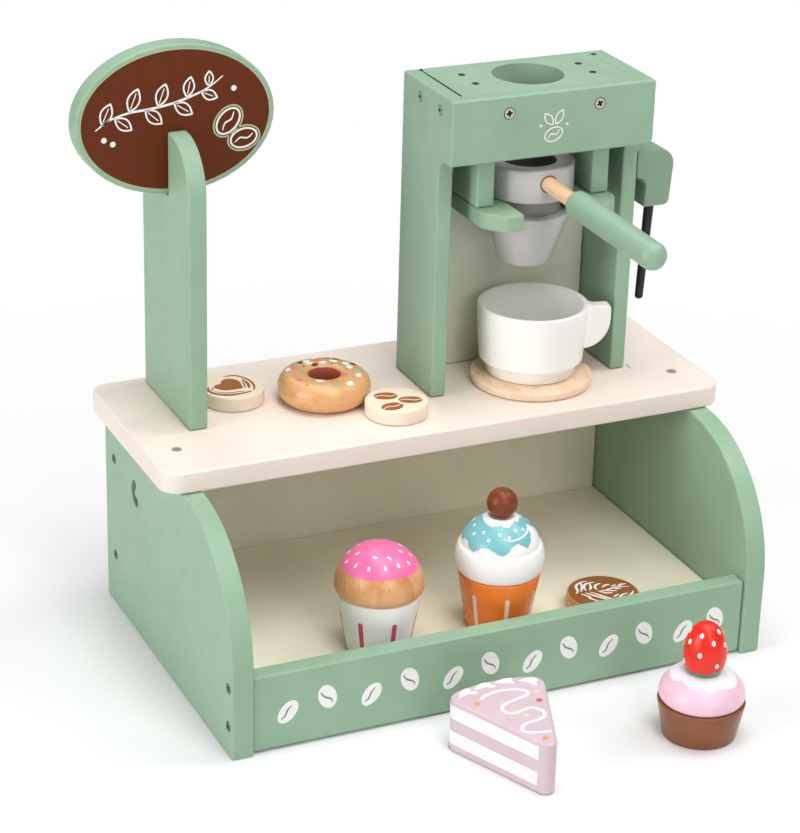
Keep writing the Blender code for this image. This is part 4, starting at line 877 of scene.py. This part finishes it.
for centre, half_length, half_width, turn in (((30.2, -4.0), 8.2, 5.6, 48),
                                               ((39.4, -14.6), 7.8, 5.3, 12)):
    bean_outline.append(oval_ring(centre, half_length, half_width, 1.1, turn))
    bean_outline.append(bean_line(centre, half_length * 0.72, turn, 0.95))
    bean_glow.append(oval_ring(centre, half_length + 1.7, half_width + 1.7, 0.9, turn))
laid("sign_beans", bean_outline, SIGN_FACE, WHITE_PRINT, "sign", lift=0.2, sink=0.1)
laid("sign_bean_outline", bean_glow, SIGN_FACE, SIGN_TAN, "sign", lift=0.2, sink=0.1)

MARK_FACE = front_face(232.3, MACHINE_FRONT, 300.6)
mark_tiles = [oval_ring((0.0, -5.0), 5.6, 3.9, 0.7, 18), bean_line((0.0, -5.0), 4.1, 18, 0.7),
              leaf_ring((-0.5, 0.4), 128, 9.4, 2.5, 0.65),
              leaf_ring((0.9, 0.4), 62, 9.8, 2.5, 0.65),
              fan(oval((8.2, 0.2), 0.8, 0.8)), fan(oval((-8.2, 0.6), 0.8, 0.8))]
laid("front_mark", mark_tiles, MARK_FACE, WHITE_PRINT, "stand")


# Discs on the counter and the shelf

def strokes(text, taper):
    """Curved strokes, one from each line of text: its width, then its points."""
    out = []
    for line in text.strip().split("\n"):
        width, points = line.split(maxsplit=1)
        out.append(stroke(smooth_line(table(points)), float(width), taper=taper))
    return out


HEART_TOP = top_face(*HEART_AT, COUNTER_DISC[1])
HEART_SHAPES = (
    table("""
        -0.7,14.5 2.8,15.7 6.4,15 9.3,12.5 11.7,8 12.8,2.4 12.4,-3 11.1,-6.7 9,-9.6 9.3,-8.1
        11,-3.2 11.4,2.9 10.3,7.9 8.7,10.9 6.3,13.4 2.9,14.4"""),
    table("""
        -12.8,4.6 -15.5,1.4 -16.1,-3.1 -13.9,-7.4 -9.3,-11 -4.4,-12.4 1.1,-12.1 7.3,-10.8
        6.2,-9.7 0.4,-10.5 -4.8,-9.8 -10,-7.7 -13.4,-4.5 -14.5,-1.3 -14.2,1.6"""),
    table("""
        -10.6,3 -9.4,4.6 -7.1,5.5 -5.2,5.4 -4.9,7.4 -2.6,10.3 0.1,11.4 3,10.3 4.9,8.2 5.9,5
        5.4,0.3 4.4,-4.1 1.7,-4.4 -2.7,-4.5 -6.3,-3.8 -9.2,-1.3 -10.4,1.2"""))
HEART_LINES = """
    1 7.4,5.5 7.2,1.7 6.6,-1.5 6,-3.9
    1.9 8.7,8.1 9.2,3.7 9.3,0.3 8.4,-3.6 7.7,-5.4
    0.8 -13.5,1 -13.2,-1.6
    0.8 -11.9,2.9 -11.6,-0.4
    0.9 -12.5,-3.5 -7.6,-7.1 -1.5,-8.4 3.8,-8.7"""
heart_tiles = [filled(smooth_line(shape, 4, closed=True)) for shape in HEART_SHAPES]
heart_tiles += strokes(HEART_LINES, (0.4, 0.4))
laid("heart_print", heart_tiles, HEART_TOP, BROWN_PRINT, "heart_disc")

BEAN_TOP = top_face(0, 0, COUNTER_DISC[1])
bean_tiles, crease_tiles = [], []
for (x0, y0), (x1, y1), half in (((130.7, 115.9), (144.1, 112.3), 4.9),
                                 ((141.9, 106.4), (155.2, 102.0), 4.7),
                                 ((128.3, 98.0), (141.7, 100.4), 5.0)):
    centre = ((x0 + x1) / 2, (y0 + y1) / 2)
    turn = math.degrees(math.atan2(y1 - y0, x1 - x0))
    length = math.hypot(x1 - x0, y1 - y0) / 2
    bean_tiles.append(fan(bean(centre, length, half, turn)))
    crease_tiles.append(bean_line(centre, length * 0.98, turn, 0.9))
laid("bean_print", bean_tiles, BEAN_TOP, BROWN_PRINT, "bean_disc")
laid("bean_print_creases", crease_tiles, BEAN_TOP, LOOKS["disc"], "bean_disc", lift=0.2)

FERN_TOP = top_face(*FERN_AT, SHELF_DISC[1])
FERN_LINES = """
    1.5 -2.9,15.7 -6.5,15.7 -10,13.8 -11.9,11.6 -12.9,7.7 -14.1,5.3 -15.8,4.2
    1.5 -6.8,14.7 -8.9,9.7 -11.8,5.4
    1.5 0.8,13.2 -2.8,13.1 -5.8,12.2 -7.9,8.6 -8.5,5.2
    1.4 -2.4,12.3 -4,7.8 -6.1,5.4
    1.5 3.4,10.3 0.4,9.7 -1.8,6.9 -1.9,4.1
    1.3 8,7.1 5.3,7.4 2,5.4
    1.2 11.3,5.4 7.9,4.9
    1.5 17.1,4.6 13.6,4.9 12.4,2.6
    1.2 17.2,1 11.7,2.7 7.3,2.6 2.2,1.7 -2.3,2.1
    1.2 12,0.4 8.2,1.5
    1.3 8.2,-1 2.4,0.9
    1.3 4.7,-2.2 1.4,-1.6 -2.1,2.4
    1.5 1.2,-8.6 -0.9,-7.1 -3.4,-2.6 -6.9,2.8
    1.5 -1.8,-8.9 -5.5,-3.9 -10,3
    1.5 -7.3,-9.2 -10.6,-4 -10.2,-2 -13,2.7
    1.2 2.9,-7.2 7.3,-5.3
    1.3 5,-9.4 9,-6.7 12.9,-6.1
    1.2 11.8,-8.9 14.7,-7.5 17.3,-5"""
laid("fern_field", [fan(oval((0, 0), 20.4, 20.4, steps=72))], FERN_TOP,
     ink("fern_brown", "945e34"), "fern_disc")
laid("fern_print", strokes(FERN_LINES, (0.45, 0.35)), FERN_TOP, WHITE_PRINT, "fern_disc", lift=0.2)


# Painted details of the doughnut and the cupcakes

PINK_INK = ink("candy_pink", "e88082")
TEAL_INK = ink("candy_teal", "8abea0")
DARK_INK = ink("candy_brown", "70463a")
HOLE_INK = ink("hole_glaze", "a4543e", 0.4)
DONUT_SURFACE = Turned(*DONUT_AT, [donut_point(180 - 3 * k) for k in range(91)])
DONUT_DOTS = (
    ("white", WHITE_PRINT, 2.2, table("""
        -124,14 -35,20.1 71,13.8 49,16.3 3,16.1 22,17.4 105,14.5 104,17.9 -70,21.5 150,21
        86,21""")),
    ("pink", PINK_INK, 2.3, table("-161,18.9 -43,11.9 143,18.7 79,16.6")),
    ("teal", TEAL_INK, 2.1, table("160,13.6 -92,19.7 27,14.8 -13,18.7 125,21")),
    ("brown", DARK_INK, 1.9, table("115,18.8 96,11.9 49,20.1 13,20.6 62,21.3")),
    ("speck", DARK_INK, 0.6, table("127,13.9 47,12.9 -140,21.6 -5,13.5")))
for name, material, size, places in DONUT_DOTS:
    scattered("donut_dots_" + name, DONUT_SURFACE, fan(oval((0, 0), size * 1.12, size * 0.78)),
              places, material, "donut", index=0, sink=0.5)
HOLE_SURFACE = Turned(*DONUT_AT, [donut_point(angle) for angle in range(110, 251, 4)])
coated("donut_hole_glaze", HOLE_SURFACE, 153.5, 139.6, 96, 14, HOLE_INK, "donut", lift=0.05)

CANDY_PINK = gloss_paint("cap_pink", "f874ac", 0.3)
MAGENTA = ink("stripe_magenta", "d65684", 0.3)
PALE_STRIPE = ink("stripe_pale", "fae6ce", 0.3)
DOME_SURFACE = Turned(*PINK_AT, DOME)
coated("pink_cap", DOME_SURFACE, None, lambda angle: 79.4 + 0.4 * math.sin(math.radians(3 * angle)),
       120, 14, CANDY_PINK, "pink_cupcake")
CAP_SPRINKLES = table("""
    130,87.5,0 148,84.3,0 178,87.5,0 -129,88.4,80 -90,88.1,35 2,88.1,0 -39,88.4,0 -26,85.3,0
    173,82.7,0 -161,83.9,0 -134,84.1,0 -104,84.7,10 -77,84.9,-10 -52,84,0 28,85,20 52,88.2,0
    78,84.4,-15 104,88,30 18,82.6,0 62,82.4,10 112,83.2,0 88,89.3,60""")
laid("pink_cap_sprinkles",
     [(stroke(moved([(0, -0.75), (0, 0.75)], (0, 0), turn), 1.35, cap=6),
       DOME_SURFACE.patch(angle, DOME_SURFACE.along(1, height)))
      for angle, height, turn in CAP_SPRINKLES],
     None, WHITE_PRINT, "pink_cupcake", lift=0.25)


def stripes(name, at_place, first, top, width, material, body):
    """Seven stripes with round ends down a cupcake case."""
    surface = Turned(*at_place, WHITE_CASE)
    length = surface.along(1, 29.2) - surface.along(1, top)
    line = [(0, -length * k / 8) for k in range(9)]
    scattered(name, surface, stroke(line, width, cap=8),
              [(first + 360 / 7 * k, top) for k in range(7)], material, body, sink=0.3)


stripes("pink_case_stripes", PINK_AT, -141.4, 50.4, 2.8, MAGENTA, "pink_cupcake")
stripes("orange_case_stripes", BLUE_AT, -154.4, 52.6, 2.6, PALE_STRIPE, "blue_cupcake")

SYRUP_BLUE = gloss_paint("syrup_blue", "7cbec2", 0.3)
SYRUP_LOW = wave("""
    174,84.3 -178,84.7 -168,81.5 -159,80.6 -154,82.1 -145,84.3 -135,84.6 -126,83.4 -119,81.9
    -112,81.6 -105,83.1 -98,85.9 -87,87.1 -80,85.7 -72,83.9 -64,85.5 -53,88.3 -45,91 -35,92.2
    -25,90 -12,84.6 6,82.2 22,84 36,86.8 52,84.8 70,82.6 84,83.4 98,81.6 112,84.6 128,86.8
    146,83 160,82""")
CREAM_LOW = wave("""
    157,94.9 -179,94.6 -160,94.2 -143,93.8 -130,94.4 -118,95.1 -111,94.2 -97,94 -83,95.1
    -68,95.6 -56,94.9 -31,95.3 -12,94.2 8,95 30,94 52,95.2 74,94.2 96,95.1 126,94.1""")
FROSTING_SURFACE = Turned(*BLUE_AT, FROSTING[2:])
coated("blue_syrup", FROSTING_SURFACE, CREAM_LOW, SYRUP_LOW, 180, 12, SYRUP_BLUE, "blue_cupcake",
       lift=0.25)
SYRUP_DOTS = table("""
    169,91.3 -172,88.8 -154,90.9 -120,91.3 -138,88.4 -83,92.5 -101,90 -62,91.9 -30,89 -6,91.6
    18,88.8 44,91.4 66,89 92,91.5 116,88.8 142,91""")
scattered("blue_syrup_dots", FROSTING_SURFACE, fan(oval((0, 0), 0.85, 1.05)), SYRUP_DOTS,
          WHITE_PRINT, "blue_cupcake", lift=0.45)
SWIRL = table("-112,89.5 -105,89 -98,88.7 -83,89 -65,89.8 -46,91.2 -37,92.1")
swirl = smooth_line([(angle, FROSTING_SURFACE.along(1, height)) for angle, height in SWIRL])
swirl_points = []
for index, (angle, length) in enumerate(swirl):
    half = 0.1 + 0.75 * index / (len(swirl) - 1)
    swirl_points += [(angle, length - half), (angle, length + half)]
swirl_faces = [(2 * k, 2 * k + 1, 2 * k + 3, 2 * k + 2) for k in range(len(swirl) - 1)]
laid("blue_syrup_swirl", [(swirl_points, swirl_faces)], FROSTING_SURFACE.whole(), WHITE_PRINT,
     "blue_cupcake", lift=0.42)

BERRY_SURFACE = Turned(*BERRY_AT, BERRY)
BERRY_SEEDS = table("""
    -177,59.1 -98,60.7 -136,53.8 168,46.2 -87,47.2 -54,57.9 -140,64 -60,65.2 -20,52.4 -14,61.6
    18,57 28,48 62,53.2 70,62.4 104,58 112,47.8 142,54.4 150,62.8 40,65.4""")
scattered("strawberry_seeds", BERRY_SURFACE, fan(oval((0, 0), 1.1, 1.5)), BERRY_SEEDS, WHITE_PRINT,
          "strawberry_cupcake", lift=0.25)
LEAF_GREEN = gloss_paint("calyx_green", "3a9668", 0.25)
CALYX_TOP = wave("""
    179,40.5 -156,41.3 -128,42 -108,41 -94,42.8 -70,42.5 -44,41.2 -20,42.8 8,41 34,42.6 62,41.2
    90,42.8 118,41 148,42.4""")
coated("strawberry_calyx", BERRY_SURFACE, CALYX_TOP, 39.2, 120, 6, LEAF_GREEN,
       "strawberry_cupcake")
CREAM_WHITE = gloss_paint("cream_white", "f6f2f8", 0.24)
CREAM_EDGE = wave("""
    150,35.5 169,35.6 179,35.9 -170,37 -159,36.7 -142,35.8 -124,36.8 -112,35.5 -104,35.1
    -90,36.2 -76,35.5 -62,34.8 -47,35 -31,35.9 -19,36.5 0,35.4 22,36.4 44,34.9 66,36.2 90,35.2
    112,36.5 130,35""")
coated("icing_cream", Turned(*BERRY_AT, ICING), None, CREAM_EDGE, 144, 10, CREAM_WHITE,
       "strawberry_cupcake", lift=0.2)


# Cake slice

CAKE_TOP = top_face(0, 0, 31.2)
CAKE_WHITE = ink("cake_white", "f0edef", 0.36)
SQUIGGLE = table("""
    129.4,-38.4 132.4,-36 140.2,-34.3 146.6,-34.6 151.4,-36.2 154.7,-38.5 155.6,-41.7
    153.2,-44.1 147.8,-45.3 140.8,-47.2 136.1,-49.6 134.6,-53.7 135.9,-57 139.2,-58.4
    144.1,-57.5 149.6,-56.4 153.2,-59.3 154.3,-63.5 152.3,-67.3 148,-69.3 141.7,-70 136.9,-72.2
    135.1,-75.2 136.2,-78.4 139.9,-80.3 148.5,-82.4""")
DOLLOPS = (
    table("""
        118.1,-32.4 121.6,-27.6 125.6,-25.2 127.5,-26.3 127.2,-29.1 129.9,-29.8 130,-31.5
        129.1,-32.4 125.6,-31.3 121.8,-32"""),
    table("""
        130.3,-27.8 133.6,-24.3 137.1,-23.2 140,-23.6 140.9,-26.2 142.4,-27.8 142,-29.1
        139.5,-29.5 137.3,-27.9 133.7,-28.1"""),
    table("""
        143,-25.9 146.7,-23.9 150.2,-23.2 154.5,-24.2 153.1,-26.7 153.8,-28.9 152.5,-29.8
        149.4,-27.9 145.4,-26.6"""),
    table("""
        157,-28 162.4,-27.4 165.6,-28.2 167.3,-30.9 165,-32.9 164.8,-34.7 163.1,-36 161,-32.2
        159,-30"""))
laid("cake_cream", [stroke(smooth_line(SQUIGGLE), 2.0, cap=6)]
     + [filled(smooth_line(shape, 3, closed=True)) for shape in DOLLOPS],
     CAKE_TOP, CAKE_WHITE, "cake_slice", lift=0.2)
CAKE_DOTS = (
    ("orange", "f09e70", "124.5,-42.2 142.7,-87.3"), ("magenta", "d66282", "157.7,-50.9"),
    ("sage", "c4c8c2", "133.9,-63.3 149.2,-76.5 147.1,-49.6 143,-38.6"),
    ("yellow", "e8d0bc", "161.3,-41.9 144,-62.6"))
for name, tint, places in CAKE_DOTS:
    laid("cake_dots_" + name, [fan(oval(place, 2.1, 1.7, 20)) for place in table(places)],
         CAKE_TOP, ink("cake_" + name, tint), "cake_slice")
CAKE_APEX = (143.3, -103.0)
CAKE_HALF_ANGLE, CAKE_TURN = 22.3, 1.0
CAKE_CORNER_START, CAKE_CORNER = 72.5, 8.0


def round_corner(face):
    """Follows a side of the slice, then the rounded rear corner."""
    def place(a, b, height):
        if a <= CAKE_CORNER_START:
            return face(a, b, height)
        angle = (a - CAKE_CORNER_START) / CAKE_CORNER
        radius = CAKE_CORNER + height
        return face(CAKE_CORNER_START + radius * math.sin(angle), b,
                    radius * math.cos(angle) - CAKE_CORNER)
    return place


for name, side in (("left", 1), ("right", -1)):
    turn = side * CAKE_HALF_ANGLE + CAKE_TURN
    back = Vector((-math.sin(math.radians(turn)), math.cos(math.radians(turn)), 0))
    out = Vector((-back.y, back.x, 0)) * side
    face = flat((*CAKE_APEX, 0.0), back, (0, 0, 1), out)
    steps = [14.2, CAKE_CORNER_START] + [CAKE_CORNER_START + k for k in range(1, 11)]
    bands = []
    for low, high in ((4.6, 12.6), (20.2, 28.4)):
        corners = [(a, b) for a in steps for b in (low, high)]
        bands.append((corners, [(2 * k, 2 * k + 2, 2 * k + 3, 2 * k + 1)
                                for k in range(len(steps) - 1)]))
    laid("cake_bands_" + name, bands, round_corner(face), CAKE_WHITE, "cake_slice")
    if name == "left":
        chip = table("76.5,0.3 79,0.3 82.5,0.3 82.5,2.2 79,2.6")
        laid("cake_bare_corner", [fan(chip)], round_corner(face),
             ink("bare_beech", "ba7646", 0.5), "cake_slice")


# Light, ground and camera

MIDDLE = Vector((0, 0, 0.15))
for name, place, size, power in (("top_light", (0.0, 0.05, 2.3), 1.2, 18.0),
                                 ("top_front_light", (0.0, -1.1, 2.1), 1.2, 17.0),
                                 ("top_right_light", (1.3, -0.2, 1.9), 1.2, 16.0),
                                 ("top_rear_light", (0.0, 1.3, 1.9), 1.2, 8.0),
                                 ("front_light", (0.2, -2.0, 1.1), 1.2, 11.0),
                                 ("left_light", (-2.2, -0.3, 0.8), 1.4, 30.0)):
    light = bpy.data.lights.new(name, "AREA")
    light.shape, light.size, light.energy = "DISK", size, power
    lamp = bpy.data.objects.new(name, light)
    lamp.location = place
    lamp.rotation_euler = (MIDDLE - Vector(place)).to_track_quat("-Z", "Y").to_euler()
    bpy.context.scene.collection.objects.link(lamp)

# White behind the object for the camera, faint light from all round for the rest
world = bpy.data.worlds.new("studio")
world.use_nodes = True
bpy.context.scene.world = world
path = add(world.node_tree, "ShaderNodeLightPath", {})
strength = add(world.node_tree, "ShaderNodeMapRange", {
    "Value": path.outputs["Is Camera Ray"], "To Min": 0.06, "To Max": 1.0})
feed(world.node_tree.nodes["Background"],
     {"Color": (1, 1, 1, 1), "Strength": strength.outputs["Result"]})

# Ground that takes the shadow near the object and fades to white away from it
GROUND_HALF, GROUND_Z = 6, -0.0002
ground_mesh = bpy.data.meshes.new("ground")
ground_mesh.from_pydata([(x * GROUND_HALF, y * GROUND_HALF, GROUND_Z)
                         for x, y in ((-1, -1), (1, -1), (1, 1), (-1, 1))], [], [(0, 1, 2, 3)])
ground = bpy.data.objects.new("ground", ground_mesh)
bpy.context.scene.collection.objects.link(ground)
ground_look = Look("ground")
ground_look.finish({"Base Color": (0.86, 0.86, 0.86, 1), "Roughness": 0.9,
                    "Specular IOR Level": 0.0})
far = add(ground_look.tree, "ShaderNodeVectorMath", {0: ground_look.coords}, operation="LENGTH")
fade = ground_look.levels(far.outputs["Value"], 0.06, 1.0, 0.20, 0.62)
seen = add(ground_look.tree, "ShaderNodeLightPath", {}).outputs["Is Camera Ray"]
share = add(ground_look.tree, "ShaderNodeMath", {0: fade, 1: seen}, operation="MULTIPLY")
white = add(ground_look.tree, "ShaderNodeEmission", {})
ground_mix = add(ground_look.tree, "ShaderNodeMixShader", {
    0: share.outputs[0], 1: ground_look.shader.outputs[0], 2: white.outputs[0]})
feed(ground_look.tree.nodes["Material Output"], {"Surface": ground_mix.outputs[0]})
ground_mesh.materials.append(ground_look.material)

camera_data = bpy.data.cameras.new("camera")
camera_data.sensor_fit = "VERTICAL"
camera_data.sensor_height = 36.0
camera_data.lens = 112.62
camera_data.clip_end = 50.0
camera = bpy.data.objects.new("camera", camera_data)
right = Vector((0.9104, -0.4128, 0.0262)).normalized()
forward = Vector((0.3868, 0.8272, -0.4076))
forward = (forward - right * forward.dot(right)).normalized()
up = right.cross(forward)
camera.matrix_world = Matrix(((right.x, up.x, -forward.x, (-433.5 - ORIGIN_X) / 1000),
                              (right.y, up.y, -forward.y, (-1127.2 - ORIGIN_Y) / 1000),
                              (right.z, up.z, -forward.z, 0.7437),
                              (0, 0, 0, 1)))
bpy.context.scene.collection.objects.link(camera)
bpy.context.scene.camera = camera
bpy.context.scene.view_settings.view_transform = "Standard"
